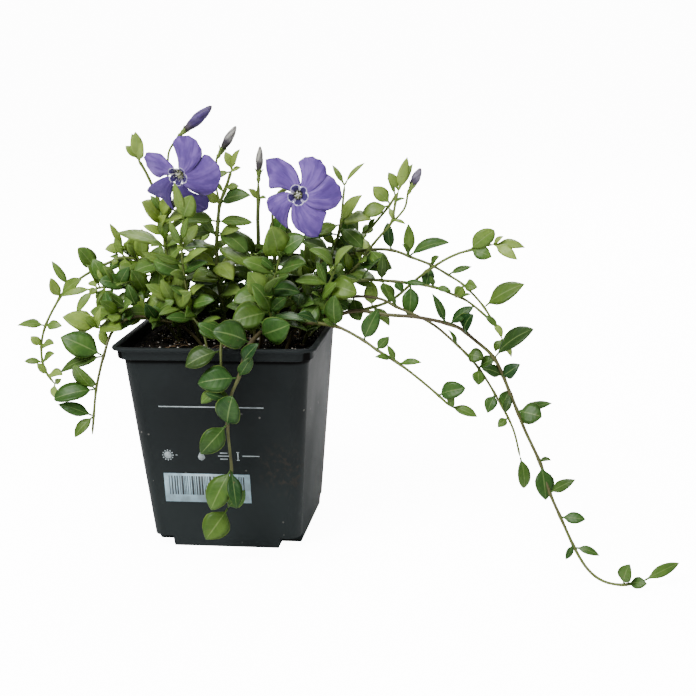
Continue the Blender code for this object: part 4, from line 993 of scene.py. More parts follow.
def leaf_plans(name, stem):
    """Each leaf of a stem: its name, place along the stem, reach and width."""
    plans = []
    for number, (at, x, y, z, width) in enumerate(stem["leaves"]):
        plans.append((f"{name}-{number}", at, Vector((x, y, z)), width))
    points = stem_points(stem)
    for stretch, (first, last, count, length) in enumerate(stem["pairs"]):
        for pair in range(count):
            at = first + (last - first) * pair / max(count - 1, 1)
            direction = smooth_place(points, at + ROOT_POINTS)[1]
            upright = abs(direction.z) > 0.9
            across = direction.cross(Vector((1, 0, 0)) if upright else UP)
            for hand in (1, -1):
                rng = random.Random(f"{name}-{stretch}-{pair}-{hand}")
                turn = math.radians(90 * pair + rng.uniform(-25, 25))
                out = Matrix.Rotation(turn, 3, direction) @ across.normalized() * hand
                reach = out * rng.uniform(0.75, 1.0) + direction * rng.uniform(0.2, 0.6)
                reach += Vector(stem["face"]).normalized() * rng.uniform(0.05, 0.35)
                size = length * rng.uniform(0.82, 1.1)
                plan = f"{name}-{stretch}-{pair}-{hand}"
                plans.append((plan, at, reach.normalized() * size, size * rng.uniform(0.48, 0.6)))
    return plans


def random_vector(rng, lowest=-1):
    """Any vector from -1 to 1 in x and y, and from the lowest to 1 in z."""
    return Vector((rng.uniform(-1, 1), rng.uniform(-1, 1), rng.uniform(lowest, 1)))


def try_leaf(plan, attempt, points, stem):
    """One try at a leaf: as planned at first, then turned and shortened a little more each time."""
    key, at, reach, width = plan
    rng = random.Random(f"{key}-{attempt}")
    face = Vector(stem["face"]).normalized()
    face += random_vector(rng) * FACE_WOBBLE
    if attempt:
        turn = math.radians(FIRST_TURN + MORE_TURN * attempt)
        reach = Matrix.Rotation(turn, 3, random_vector(rng)) @ reach
        reach = reach * (1 - SHORTER * attempt)
    root = on_stem(points, at) - reach.normalized() * LEAF_SINK
    return root, reach, face, width


print("planned leaves:", sum(len(leaf_plans(name, STEMS[name])) for name in STEMS))

# %% Find each leaf again in the solids
TRIES = 16
LEAF_BOW = 0.09
FOUND_WITHIN = 0.08


def blade_frame(reach, face):
    """The directions straight out of a blade's face and across it."""
    normal = (face - reach * face.dot(reach) / reach.length_squared).normalized()
    return normal, reach.normalized().cross(normal)


def known_points(root, reach, face, width):
    """The tip of a solid leaf and the two corners at its widest, for broad and narrow leaves."""
    normal, side = blade_frame(reach, face)
    points = [root + reach]
    for along, part in ((0.60, 1.0), (0.40, 0.96)):
        middle = root + reach * along + normal * reach.length * LEAF_BOW * 4 * along * (1 - along)
        half = max(width / 2 * part, 0.5)
        points += [middle + side * half, middle - side * half]
    return points


def solid_points(node):
    """A search tree of the solid's corners, in millimetres."""
    vertices = frame["nodes"][node].data.vertices
    tree = KDTree(len(vertices))
    for vertex in vertices:
        tree.insert(vertex.co / MM, vertex.index)
    tree.balance()
    return tree


def grown_leaves(name, stem):
    """The leaves that the solid really carries."""
    tree = solid_points(name)
    points = stem_points(stem)
    grown = []
    for plan in leaf_plans(name, stem):
        for attempt in range(TRIES):
            leaf = try_leaf(plan, attempt, points, stem)
            if any(tree.find(point)[2] < FOUND_WITHIN for point in known_points(*leaf)):
                grown.append((plan[0], plan[1], *leaf))
                break
    return grown


print("one stem has", len(grown_leaves("shoot_left", STEMS["shoot_left"])), "leaves")

# %% [markdown]
# ## Small leaves between the others
# The middle of the plant is crowded with young leaves, too small and too close together for the
# solids. They are planned by the same rules, as plain pairs from one place along a stem to another,
# and stand where they fall. They are slimmer than grown leaves, no two are equally long, and each
# is tilted its own way, so that the crowd looks grown and not combed.

# %% Plan the small leaves
SMALL_SLIM = 0.62
SMALL_TILT = 0.7


def small_leaves(name, stem):
    """The small leaves of a stem, each with its place along the stem."""
    crowded = {**stem, "leaves": [], "pairs": stem["small"]}
    points = stem_points(stem)
    found = []
    for plan in leaf_plans(f"{name}-small", crowded):
        root, reach, face, width = try_leaf(plan, 0, points, stem)
        rng = random.Random(f"tilt-{plan[0]}")
        face = face + random_vector(rng, -0.5) * SMALL_TILT
        reach = reach * rng.uniform(0.6, 1.2)
        found.append((plan[0], plan[1], root, reach, face, width * SMALL_SLIM * rng.uniform(0.7, 1.2)))
    return found


print("small leaves:", sum(len(small_leaves(name, STEMS[name])) for name in STEMS))

# %% [markdown]
# ## The leaf's shape
# A leaf is a sphere, squashed and stretched: each ring of the sphere becomes one section of the
# leaf, with its two edges, an upper skin and a lower one, and the two poles become the foot of the
# stalk and the tip. That gives a closed leaf of 88 faces, few enough to repeat hundreds of times.
# The outline is a list of (place along, share of the width). The blade rises from its midrib like
# a shallow boat, bows along its length as the solid does, and every leaf waves and twists a little
# its own way. Narrow leaves are more pointed, and broad ones are flatter and twist less.

# %% Sections of a sphere
LEAF_OUTLINE = (
    (0.0, 0.0), (0.08, 0.08), (0.15, 0.12), (0.22, 0.46), (0.32, 0.78), (0.44, 0.96), (0.56, 1.0),
    (0.68, 0.96), (0.79, 0.84), (0.89, 0.60), (0.96, 0.32), (1.0, 0.0),
)
LEAF_SIDES = 8
LEAF_LENGTHEN = 1.06
LEAF_WIDEN = 1.15
NARROW_WIDEN = 1.4
NARROW_LEAF = 5.2
BROAD_LEAF = 8.5
STALK_END = 0.18
STALK_HALF = 0.42


def sphere_sections(bm, sides, outline):
    """Makes a sphere and yields each vertex with its section, its share across and its rise."""
    last = len(outline) - 1
    made = bmesh.ops.create_uvsphere(bm, u_segments=sides, v_segments=last, radius=1)
    for vert in made["verts"]:
        ring = round(math.acos(max(-1.0, min(1.0, vert.co.z))) * last / math.pi)
        around = math.hypot(vert.co.x, vert.co.y)
        if ring in (0, last):
            yield vert, *outline[ring], 0.0, 0.0
        else:
            yield vert, *outline[ring], vert.co.x / around, vert.co.y / around


def spread(across):
    """Moves the inner lengthwise lines of a leaf towards its midrib."""
    return math.copysign(abs(across) ** 1.6, across)


print("a leaf has", len(LEAF_OUTLINE), "rings of", LEAF_SIDES, "points")

# %% Shape one leaf
def add_leaf(bm, layers, key, root, reach, face, width, age):
    """One leaf of a leafy piece, on its short stalk."""
    place, aged = layers
    narrow, broad = width < NARROW_LEAF, width > BROAD_LEAF
    rng = random.Random(key)
    tint = rng.random()
    fold = rng.uniform(0.08, 0.24 if broad else 0.38)
    waves = rng.uniform(0.0, 0.06)
    phase = rng.uniform(0, 6.28)
    lopsided = rng.uniform(-0.25, 0.55)
    curl = rng.uniform(-0.05, 0.12)
    pointed = 1.45 if narrow else rng.uniform(0.9, 1.5)
    twist = rng.uniform(-0.3, 0.3) if broad else rng.uniform(-0.6, 0.6)
    slimmer = 1.0 if broad else rng.uniform(0.78, 1.08)
    thick = 0.26 + 0.012 * width
    reach = reach * LEAF_LENGTHEN
    width = width * slimmer * (NARROW_WIDEN if narrow else LEAF_WIDEN)
    normal, side = blade_frame(reach, face)
    for vert, along, part, across, rise in sphere_sections(bm, LEAF_SIDES, LEAF_OUTLINE):
        share = spread(across)
        on_stalk = along < STALK_END
        share_of_width = part**pointed * (1 + lopsided * (0.5 - along))
        half = STALK_HALF if on_stalk and part else width / 2 * share_of_width
        depth = STALK_HALF if on_stalk and part else thick
        lift = half * abs(share) * fold + half * waves * share * math.sin(9 * along + phase)
        if on_stalk:
            lift = 0.0
            share = across
        bowed = normal * reach.length * (LEAF_BOW * 4 * along * (1 - along) - curl * along**4)
        turned = side * math.cos(twist * along) + normal * math.sin(twist * along)
        out = normal * math.cos(twist * along) - side * math.sin(twist * along)
        vert.co = root + reach * along + bowed + turned * half * share + out * (lift + depth * rise)
        vert[place] = (share, along, tint)
        vert[aged] = age
        if rise < -0.1:
            for corner in vert.link_faces:
                corner.material_index = 1


# %% [markdown]
# ## The stem's shape
# A stem starts as a circle. Its rim is extruded from place to place along the route, turned into
# the new direction each time and made a little smaller. Where a pair of leaves sits the stem
# swells into a joint, which is what makes it look grown and not drawn.

# %% Grow a tube
def facing(way):
    """Turns what points up until it looks this way."""
    return way.to_track_quat("Z", "Y").to_matrix().to_4x4()


def ring_matrix(place, direction, radius):
    """Puts a unit circle round this place, square to the direction."""
    return Matrix.Translation(place) @ facing(direction) @ Matrix.Scale(radius, 4)


def add_tube(bm, places, radii, sides, mark=None):
    """A closed tube through these places; mark is told each vertex with its ring's number."""
    way = (places[1] - places[0]).normalized()
    made = bmesh.ops.create_circle(bm, cap_ends=True, segments=sides, radius=1.0)
    ring = made["verts"]
    cap = ring[0].link_faces[0]
    upright = ring_matrix(places[0], way, radii[0])
    bmesh.ops.transform(bm, matrix=upright, verts=ring)
    for number, place in enumerate(places):
        if number:
            grown = bmesh.ops.extrude_face_region(bm, geom=[cap])["geom"]
            if number > 1:
                bm.faces.remove(cap)
            ring = pick(grown, bmesh.types.BMVert)
            cap = pick(grown, bmesh.types.BMFace)[0]
            ahead = places[min(number + 1, len(places) - 1)]
            behind = places[number - 1]
            new_way = (ahead - behind).normalized()
            bend = way.rotation_difference(new_way).to_matrix().to_4x4()
            size = Matrix.Scale(radii[number] / radii[number - 1], 4)
            step = Matrix.Translation(place) @ bend @ size @ Matrix.Translation(-behind)
            bmesh.ops.transform(bm, matrix=step, verts=ring)
            way = new_way
        if mark:
            for vert in ring:
                mark(vert, number)


def finish_newest(bm, first_face, number):
    """Gives every face from this one on the finish with this number."""
    bm.faces.ensure_lookup_table()
    for face in bm.faces[first_face:]:
        face.material_index = number


# %% Grow a whole stem
STEM_STEP = 2.2
STEM_SIDES = 8
STEM_SHARE = 0.94
JOINT_SWELL = 0.30
JOINT_LENGTH = 1.6
STALK_RADIUS = 0.5


def stem_radius(stem, at, last, place, joints):
    """The stem's radius at a number along it, thicker at each joint."""
    radius = stem["thick"] * STEM_SHARE * (1 - STEM_TAPER * at / last)
    nearest = min((joint - place).length for joint in joints)
    swell = 1 + JOINT_SWELL * math.exp(-((nearest / JOINT_LENGTH) ** 2))
    return radius * swell * (0.35 if at >= last else 1.0)


def add_stem(bm, layers, stem, joints):
    """The stem itself, greener towards its tip."""
    place_layer, aged = layers
    points = stem_points(stem)
    last = len(points) - 1
    spots = places_along(points, STEM_STEP)
    places = [place for _, place in spots]
    radii = [stem_radius(stem, at, last, place, joints) for at, place in spots]

    def mark(vert, number):
        at = spots[number][0]
        turn = math.atan2(vert.co.x - places[number].x, vert.co.y - places[number].y)
        vert[place_layer] = (abs(turn) / math.pi, number / 10, 0.5)
        vert[aged] = (0.3 + 0.7 * stem["tone"]) * (1 - 0.55 * at / last)

    first_face = len(bm.faces)
    add_tube(bm, places, radii, STEM_SIDES, mark)
    finish_newest(bm, first_face, 2)


# %% Stalks and calyx
CALYX_LENGTH = 3.2
SOLID_GAP = 0.3
BLOOM_SEAT = CALYX_LENGTH - 0.4 + SOLID_GAP
SEPALS = 5
SEPAL_LENGTH = 5.2
SEPAL_WIDTH = 1.5


def bloom_end(bloom):
    """The end of a bloom's stalk and the way it looks."""
    if bloom["route"]:
        end = Vector(bloom["route"][-1])
    else:
        end = on_stem(stem_points(STEMS[bloom["stem"]]), bloom["at"])
    return end, Vector(bloom["aim"]).normalized()


def add_bare_tube(bm, layers, places, radii, age):
    """A tube with the stem's finish and no leaves."""
    place_layer, aged = layers

    def mark(vert, number):
        vert[place_layer] = (0.5, number / 10, 0.5)
        vert[aged] = age

    first_face = len(bm.faces)
    add_tube(bm, places, radii, STEM_SIDES, mark)
    finish_newest(bm, first_face, 2)


def add_stalk(bm, layers, bloom):
    """A bloom's slim stalk with the cup and the five sepals of its calyx."""
    end, aim = bloom_end(bloom)
    stalk = [on_stem(stem_points(STEMS[bloom["stem"]]), bloom["at"])]
    stalk += [Vector(point) for point in bloom["route"]]
    if len(stalk) == 1:
        stalk.insert(0, end - aim * 2)
    places = [place for _, place in places_along(stalk, 1.5)]
    cup = [end + aim * step for step in (0.8, 1.9, 2.9)]
    add_bare_tube(bm, layers, places + cup, [STALK_RADIUS] * len(places) + [0.75, 1.0, 0.8], 0.12)
    across = aim.cross(UP if abs(aim.z) < 0.9 else Vector((1, 0, 0))).normalized()
    for number in range(SEPALS):
        out = Matrix.Rotation(math.radians(360 / SEPALS) * number, 3, aim) @ across
        reach = aim * SEPAL_LENGTH + out * 1.0
        root = end + aim * 0.9 + out * 0.7
        key = f"sepal-{number}-{end.x}"
        add_leaf(bm, layers, key, root, reach, out * -1.0, SEPAL_WIDTH, 0.1)


print("a calyx has", SEPALS, "sepals of", SEPAL_LENGTH, "mm")

# %% [markdown]
# ## Grow every leafy stem
# Each stem becomes one piece with its leaves, its bloom stalks and their calyxes, because on the
# plant they are one thing too. Leaves near a growing tip are younger than those below, and narrow
# ones turn towards the light in front. One stem also has a bare stalk beside it.

# %% Grow them
YOUNG_TIP = 0.45
YOUNG_SMALL = 0.18
BARE_RADIUS = 0.62
BARE_AGE = 0.3
LIGHT_SIDE = Vector((0.12, -0.8, 0.35))


def leafy_piece(name, stem):
    """One stem with everything that grows on it."""
    bm = bmesh.new()
    layers = fact_layers(bm)
    grown = grown_leaves(name, stem)
    leaves = grown + small_leaves(name, stem)
    last = len(stem["route"]) - 1
    joints = [root for _, _, root, _, _, _ in grown]
    for key, at, root, reach, face, width in leaves:
        rng = random.Random(f"age-{key}")
        age = stem["tone"] + rng.uniform(-0.25, 0.26) - YOUNG_TIP * (at / last) ** 5
        age -= YOUNG_SMALL if "-small-" in key else 0.0
        if width < NARROW_LEAF:
            face = face.normalized() + LIGHT_SIDE
        add_leaf(bm, layers, key, root, reach, face, width, max(0.02, age))
    add_stem(bm, layers, stem, joints)
    if stem["bare"]:
        bare = places_along([Vector(spot) for spot in stem["bare"]], STEM_STEP)
        add_bare_tube(bm, layers, [place for _, place in bare], [BARE_RADIUS] * len(bare), BARE_AGE)
    for bloom in BLOOMS.values():
        if bloom["stem"] == name:
            add_stalk(bm, layers, bloom)
    bmesh.ops.recalc_face_normals(bm, faces=bm.faces[:])
    return finish_piece(
        bm, f"leafy_{name}", [leaf_top, leaf_under, stem_skin], [name]
    ), len(leaves)


leaf_count = sum(leafy_piece(name, stem)[1] for name, stem in STEMS.items())
print("leaves in all:", leaf_count)

# %% [markdown]
# ## Petal, throat and bud finishes
# The petals are a cool violet-blue, darker in fine streaks that fan out from the throat. Their
# colour also holds painted shade and painted highlight: a petal bent far back is painted darker, a
# painted shade darkens the broad soft fold down each petal's middle, and soft noise paints lighter
# and darker patches as if the petal were crumpled. A thin white line with five scallops runs round
# the throat, worn thin in places. Inside it lies a dark oval at the foot of each petal, with white
# lines between them and a greenish middle. One material draws all of it, because each vertex also
# keeps its distance from the middle of the flower, in the number that leaves use for their age.
# A bud is greenish white or violet, with dark stains drawn out along it. Its furrows are painted
# darker, as painted shade, and pale blotches on it are a painted highlight.

# %% The petals' violet
PETAL_SPAN = 20.0
WHITE = (0.80, 0.78, 0.88)

petal_skin, tree, shader = new_material("petal_skin", 0.6)
across, along, tint, from_throat = surface_facts(tree)
beside = calculate(tree, "ABSOLUTE", across)
uneven = unevenness(tree, 140.0)
violet = blend_colours(tree, uneven["Blotches"], (0.145, 0.080, 0.34), (0.245, 0.148, 0.49))
# The tint darkens a petal a little at random, and much more where it is bent far back, which is painted
# shade.
violet = mix_in(tree, tint, 0.9, violet, (0.085, 0.05, 0.22))
fan = times(tree, across, 26.0)
wander = times(tree, uneven["Blotches"], 3.0)
streaks = mask(tree, calculate(tree, "SINE", calculate(tree, "ADD", fan, wander)), 0.35, 1.0)
streaks = times(tree, streaks, mask(tree, along, 1.0, 0.35))
violet = mix_in(tree, streaks, 0.22, violet, (0.10, 0.06, 0.27))
# Painted shade: a darker band along the fold down each petal's middle, from a little way out of the
# throat.
fold_shade = times(tree, mask(tree, beside, 0.22, 0.02), mask(tree, along, 0.05, 0.3))
violet = mix_in(tree, fold_shade, 0.3, violet, (0.09, 0.055, 0.25))
# Painted shade and painted highlight: noise of its own for each petal darkens some patches and lightens
# others, as if the petal were crumpled.
painted_crumple_place = add_node(tree, "CombineXYZ")
feed(tree, times(tree, across, 2.4), painted_crumple_place.inputs["X"])
feed(tree, times(tree, along, 1.1), painted_crumple_place.inputs["Y"])
feed(tree, times(tree, tint, 90.0), painted_crumple_place.inputs["Z"])
painted_crumple_shading = noise(tree, painted_crumple_place.outputs["Vector"], 1.35, 2.5)
violet = mix_in(tree, mask(tree, painted_crumple_shading, 0.48, 0.68), 0.7, violet, (0.085, 0.040, 0.22))
violet = mix_in(tree, mask(tree, painted_crumple_shading, 0.44, 0.28), 0.45, violet, (0.32, 0.20, 0.56))
rim = calculate(tree, "MAXIMUM", mask(tree, beside, 0.93, 1.0), mask(tree, along, 0.972, 0.995))
violet = mix_in(tree, rim, 0.45, violet, (0.09, 0.05, 0.24))
print("petal material:", petal_skin.name)

# %% The star in the throat
STAR_LINE = (4.84, 4.62)
OVAL_EDGE = (4.38, 4.18)
OVAL_SIDES = (0.80, 0.62)
THROAT_MIDDLE = (2.0, 1.4)

millimetres = times(tree, from_throat, PETAL_SPAN)
ragged = scaled(tree, uneven["Grain"], 0.8, -0.4)
scallop = scaled(tree, calculate(tree, "POWER", beside, 2.0), 0.8, ragged)
star = calculate(tree, "ADD", millimetres, scallop)
worn_line = mask(tree, noise(tree, object_place(tree), 420.0, 1.5), 0.40, 0.60)
whole_line = mask(tree, star, *STAR_LINE)
line = times(tree, whole_line, scaled(tree, worn_line, 0.72, 0.28))
violet = blend_colours(tree, line, violet, WHITE)
oval_sides = mask(tree, beside, *OVAL_SIDES)
oval = times(tree, mask(tree, star, *OVAL_EDGE), oval_sides)
violet = blend_colours(tree, oval, violet, (0.05, 0.028, 0.16))
middle = mask(tree, millimetres, *THROAT_MIDDLE)
violet = blend_colours(tree, middle, violet, (0.40, 0.44, 0.15))
feed(tree, violet, shader["Base Color"])
gloss = scaled(tree, uneven["Grain"], 0.2, 0.5)
feed(tree, gloss, shader["Roughness"])
height = scaled(tree, streaks, -0.8, uneven["Grain"])
feed(tree, bump(tree, height, 0.3, 0.0002), shader["Normal"])
shader["Sheen Weight"].default_value = 0.15
print("star drawn on:", petal_skin.name)

# %% The hairs and the bud
throat_hair, tree, shader = new_material("throat_hair", 0.7)
uneven = unevenness(tree, 900.0)
pale = blend_colours(tree, uneven["Blotches"], (0.82, 0.82, 0.80), (0.44, 0.46, 0.26))
feed(tree, pale, shader["Base Color"])
feed(tree, bump(tree, uneven["Grain"], 0.3, 0.0001), shader["Normal"])

bud_skin, tree, shader = new_material("bud_skin", 0.55)
_, along, tint, furrow_shade = surface_facts(tree)
uneven = unevenness(tree, 260.0)
pale_bud = colour_steps(
    tree, along,
    [
        (0.0, 0.16, 0.21, 0.06), (0.16, 0.075, 0.080, 0.045), (0.44, 0.070, 0.062, 0.050),
        (0.56, 0.42, 0.42, 0.36), (0.86, 0.56, 0.56, 0.47), (1.0, 0.10, 0.09, 0.07),
    ],
)
violet_bud = colour_steps(
    tree, along,
    [
        (0.0, 0.14, 0.12, 0.08), (0.24, 0.085, 0.065, 0.085), (0.42, 0.100, 0.062, 0.22),
        (0.86, 0.130, 0.085, 0.29), (1.0, 0.13, 0.12, 0.12),
    ],
)
bud_colour = blend_colours(tree, tint, pale_bud, violet_bud)
drawn_out = add_node(tree, "VectorMath", operation="MULTIPLY")
feed(tree, add_node(tree, "Attribute", attribute_name="place").outputs["Vector"], drawn_out.inputs[0])
drawn_out.inputs[1].default_value = (3.0, 1.6, 7.0)
stains = mask(tree, noise(tree, drawn_out.outputs["Vector"], 1.4, 2.0), 0.48, 0.62)
stains = times(tree, stains, scaled(tree, tint, -0.3, 0.6))
bud_colour = blend_colours(tree, stains, bud_colour, (0.055, 0.045, 0.042))
# Painted shade: the furrows between the furled petals are darkened.
bud_colour = mix_in(tree, furrow_shade, 0.7, bud_colour, (0.045, 0.035, 0.06))
# Painted highlight: pale grey-violet blotches stand in for the sheen on the bud's ridges.
bud_colour = mix_in(tree, uneven["Blotches"], 0.14, bud_colour, (0.40, 0.38, 0.44))
feed(tree, bud_colour, shader["Base Color"])
feed(tree, bump(tree, uneven["Grain"], 0.4, 0.0002), shader["Normal"])
shader["Sheen Weight"].default_value = 0.2
print("bud material:", bud_skin.name)

# %% [markdown]
# ## The open flowers
# A periwinkle flower is a slim tube that opens into a funnel, with five petals that all lean the
# same way, like the blades of a propeller. The funnel is one open profile spun round the flower's
# own axis. Each petal is a sphere again, with more sections, but now the places across and along
# become an angle round the throat and a distance from it, so that the petal opens like a fan and
# ends in the line that its five reaches draw. The pale hairs of the throat are fine cones: short and
# few in the front flower, and a long tuft in the left one.

# %% The tube and the funnel
TUBE_LENGTH = 11.0
FUNNEL = (
    (0.0, 0.0), (0.0, 0.72), (2.5, 0.80), (5.0, 1.0), (7.2, 1.5), (9.0, 2.3), (10.4, 3.3), (10.75, 3.5),
    (10.7, 3.2), (9.6, 2.3), (8.6, 1.7), (7.4, 1.2), (7.2, 0.0),
)
FUNNEL_SIDES = 30
PETAL_LEAN = 22.0


def petal_way(aim, degrees):
    """The direction at this angle round the throat, seen from the front of the flower."""
    right = UP.cross(aim).normalized()
    turn = math.radians(degrees)
    return right * math.cos(turn) + aim.cross(right) * math.sin(turn)


def add_funnel(bm, layers, seat, aim, ways):
    """The flower's tube and funnel, spun from its profile."""
    place, from_throat = layers
    verts = [bm.verts.new(seat + aim * high + ways[0] * out) for high, out in FUNNEL]
    edges = [bm.edges.new(pair) for pair in zip(verts, verts[1:])]
    first_vert = len(bm.verts) - len(verts)
    bmesh.ops.spin(
        bm, geom=[*verts, *edges], cent=seat, axis=aim, steps=FUNNEL_SIDES, angle=math.radians(360),
        use_merge=True,
    )
    bm.verts.ensure_lookup_table()
    spun = bm.verts[first_vert:]
    for vert in spun:
        out = vert.co - seat
        out -= aim * out.dot(aim)
        if out.length < 0.05:
            nearest = 0.0
        else:
            nearest = min(out.angle(way) for way in ways)
        vert[place] = (min(1.0, nearest / math.radians(36)), 0.0, 0.3)
        vert[from_throat] = out.length / PETAL_SPAN
    bmesh.ops.remove_doubles(bm, verts=spun, dist=0.01)


print("the funnel's profile has", len(FUNNEL), "points, spun in", FUNNEL_SIDES, "steps")

# %% The petals
PETAL_OUTLINE = (
    (0.0, 0.0), (0.02, 0.95), (0.07, 1.08), (0.15, 1.10), (0.26, 1.06), (0.40, 1.02), (0.53, 1.0),
    (0.66, 1.0), (0.78, 1.0), (0.88, 1.0), (0.95, 0.97), (0.985, 0.86), (0.998, 0.55), (1.0, 0.0),
)
PETAL_SIDES = 16
PETAL_THICK = 0.18
PETAL_ROOT = 3.2
PETAL_BOW = 0.9
PETAL_TWIST = 0.45
PETAL_WAVE = 0.35
CREASE_DEPTH = 0.5
CREASE_HALF = 0.15
# Petals bent back further than this are painted darker, as painted shade.
BENT_INTO_SHADE = -2.5


def petal_reach(reaches, share):
    """How far a petal reaches at this share across it."""
    points = [Vector((4.5 * number, reach, 0)) for number, reach in enumerate(reaches)]
    at = (max(-1.0, min(1.0, share)) + 1) / 2 * (len(points) - 1)
    return smooth_place(points, at)[0].y


def add_petal(bm, layers, key, throat, aim, petal):
    """One petal, which leans round the throat as it grows outwards."""
    place, from_throat = layers
    middle, spread_half, reaches, bend = petal
    rng = random.Random(key)
    # A petal bent far back gets a large tint, which the petal finish paints as a much darker violet:
    # painted shade.
    tint = rng.uniform(0.0, 0.2) + (0.75 if bend < BENT_INTO_SHADE else 0.0)
    phase = rng.uniform(0, 6.28)
    for vert, along, part, across, rise in sphere_sections(bm, PETAL_SIDES, PETAL_OUTLINE):
        share = across * part
        ragged = 1 + 0.018 * math.sin(15 * share + phase) * along**6
        out = PETAL_ROOT + (petal_reach(reaches, share) * ragged - PETAL_ROOT) * along
        way = petal_way(aim, middle + spread_half * share + PETAL_LEAN * (along - 1))
        lift = PETAL_BOW * 4 * along * (1 - along) + bend * along**2 - 0.2
        lift -= (PETAL_TWIST * share * 0.6 + 0.9 * abs(share) ** 3) * min(1.0, 3 * along)
        crease = CREASE_DEPTH * math.exp(-((share / CREASE_HALF) ** 2)) * along
        lift += PETAL_WAVE * math.sin(5 * share + phase) * along - crease
        vert.co = throat + way * out + aim * (lift + PETAL_THICK * rise)
        vert[place] = (share, along, tint)
        vert[from_throat] = out / PETAL_SPAN


print("a petal has", len(PETAL_OUTLINE), "rings of", PETAL_SIDES, "points")

# %% The heart of the flower
HAIRS = {"flower_front": (22, 1.3, 2.0), "flower_left": (90, 2.2, 4.7)}


def add_heart(bm, key, throat, aim, ways):
    """The cushion, an anther for each petal and the pale hairs in the throat."""
    hairs, length, reach = HAIRS[key]
    rng = random.Random(key)
    first_face = len(bm.faces)
    upright = facing(aim)
    cushion = Matrix.Translation(throat - aim * 2.0) @ upright @ Matrix.Diagonal((1.0, 1.0, 1.5, 1.0))
    bmesh.ops.create_uvsphere(bm, u_segments=12, v_segments=8, radius=0.95, matrix=cushion)
    for way in ways:
        spot = throat - aim * 1.0 + way * 1.15
        lean = facing(aim - way * 0.6)
        anther = Matrix.Translation(spot) @ lean @ Matrix.Diagonal((0.42, 0.3, 0.85, 1.0))
        bmesh.ops.create_uvsphere(bm, u_segments=8, v_segments=6, radius=1.0, matrix=anther)
    for _ in range(hairs):
        turn = rng.uniform(0, 6.28)
        out = Matrix.Rotation(turn, 3, aim) @ ways[0]
        way = (aim * rng.uniform(0.5, 1.3) + out * rng.uniform(-0.6, 0.9)).normalized()
        spot = throat - aim * 1.5 + out * rng.uniform(0.8, reach) + way * length / 2
        lean = Matrix.Translation(spot) @ facing(way)
        bmesh.ops.create_cone(
            bm, cap_ends=True, segments=4, radius1=0.09, radius2=0.03, depth=length, matrix=lean
        )
    finish_newest(bm, first_face, 1)


def open_flower(name, bloom):
    """One open flower."""
    bm = bmesh.new()
    layers = fact_layers(bm)
    end, aim = bloom_end(bloom)
    seat = end + aim * BLOOM_SEAT
    throat = seat + aim * TUBE_LENGTH
    ways = [petal_way(aim, petal[0] - PETAL_LEAN) for petal in bloom["petals"]]
    add_funnel(bm, layers, seat, aim, ways)
    for number, petal in enumerate(bloom["petals"]):
        add_petal(bm, layers, f"{name}-{number}", throat, aim, petal)
    bmesh.ops.recalc_face_normals(bm, faces=bm.faces[:])
    add_heart(bm, name, throat, aim, ways)
    return finish_piece(bm, f"open_{name}", [petal_skin, throat_hair], [name])


for name, bloom in BLOOMS.items():
    if "petals" in bloom:
        open_flower(name, bloom)

# %% [markdown]
# ## The buds
# Before it opens the flower is furled like an umbrella: five petals wound round each other into a
# slim spindle on a narrow tube. The spindle is a sphere again, and five shallow furrows that wind
# round it show the edges of the petals.

# %% Furl the buds
BUD_OUTLINE = (
    (0.0, 0.34), (0.10, 0.46), (0.20, 0.60), (0.30, 0.78), (0.40, 0.93), (0.50, 1.0), (0.60, 0.96),
    (0.70, 0.86), (0.80, 0.70), (0.89, 0.50), (0.96, 0.30), (1.0, 0.0),
)
BUD_SIDES = 20
BUD_TURNS = 0.45
FURROW = 0.10


def furled_bud(name, bloom):
    """One closed bud."""
    length, width, colour = bloom["bud"]
    end, aim = bloom_end(bloom)
    root = end + aim * BLOOM_SEAT
    turn = aim.to_track_quat("Z", "Y").to_matrix()
    bm = bmesh.new()
    place, furrowed = fact_layers(bm)
    for vert, along, part, across, rise in sphere_sections(bm, BUD_SIDES, BUD_OUTLINE):
        angle = math.atan2(rise, across)
        wound = math.cos(5 * angle - 2 * math.pi * BUD_TURNS * 5 * along)
        deep = max(0.0, -wound) ** 2 * min(1.0, along * 3)
        radius = width / 2 * part * (1 - 2 * FURROW * deep)
        if not (across or rise):
            radius = 0.0
        sway = Vector((math.sin(2.2 * along), 0, 0)) * 0.02 * length * along
        vert.co = root + turn @ (Vector((across, rise, 0)) * radius + sway + UP * along * length)
        vert[place] = (across, along, colour)
        # The furrow's depth feeds the painted shade in the bud's finish.
        vert[furrowed] = deep
    bmesh.ops.recalc_face_normals(bm, faces=bm.faces[:])
    return finish_piece(bm, f"furled_{name}", [bud_skin], [name])


for name, bloom in BLOOMS.items():
    if "bud" in bloom:
        furled_bud(name, bloom)

# %% [markdown]
# ## The pot
# Nursery pots are moulded from thin dark plastic: a tapered square with round corners, an upright
# band with a lip at the top, and a foot whose four corners are lifted so that water can run out.
# The pot is lofted from one rounded outline that is extruded ring by ring. The lifted corners, the
# hollow and the drain holes are cut with Booleans, and a fine bevel takes the knife edge off every
# cut, because moulded plastic has none.

# %% The pot's sizes
POT_HEIGHT = 94.2
BASE_HALF = 33.0
WALL_TOP_HALF = 40.8
BAND_HALF = 43.2
LIP_HALF = 45.0
BAND_FOOT = 88.3
WALL = 1.3
FLOOR = 1.6
CORNER_RATIO = 0.17
CORNER_STEPS = 10
FOOT_CORNER = 9.6
FOOT_RISE = 5.0
DRAIN_RADIUS = 2.6
EDGE_HEIGHT = 1.2

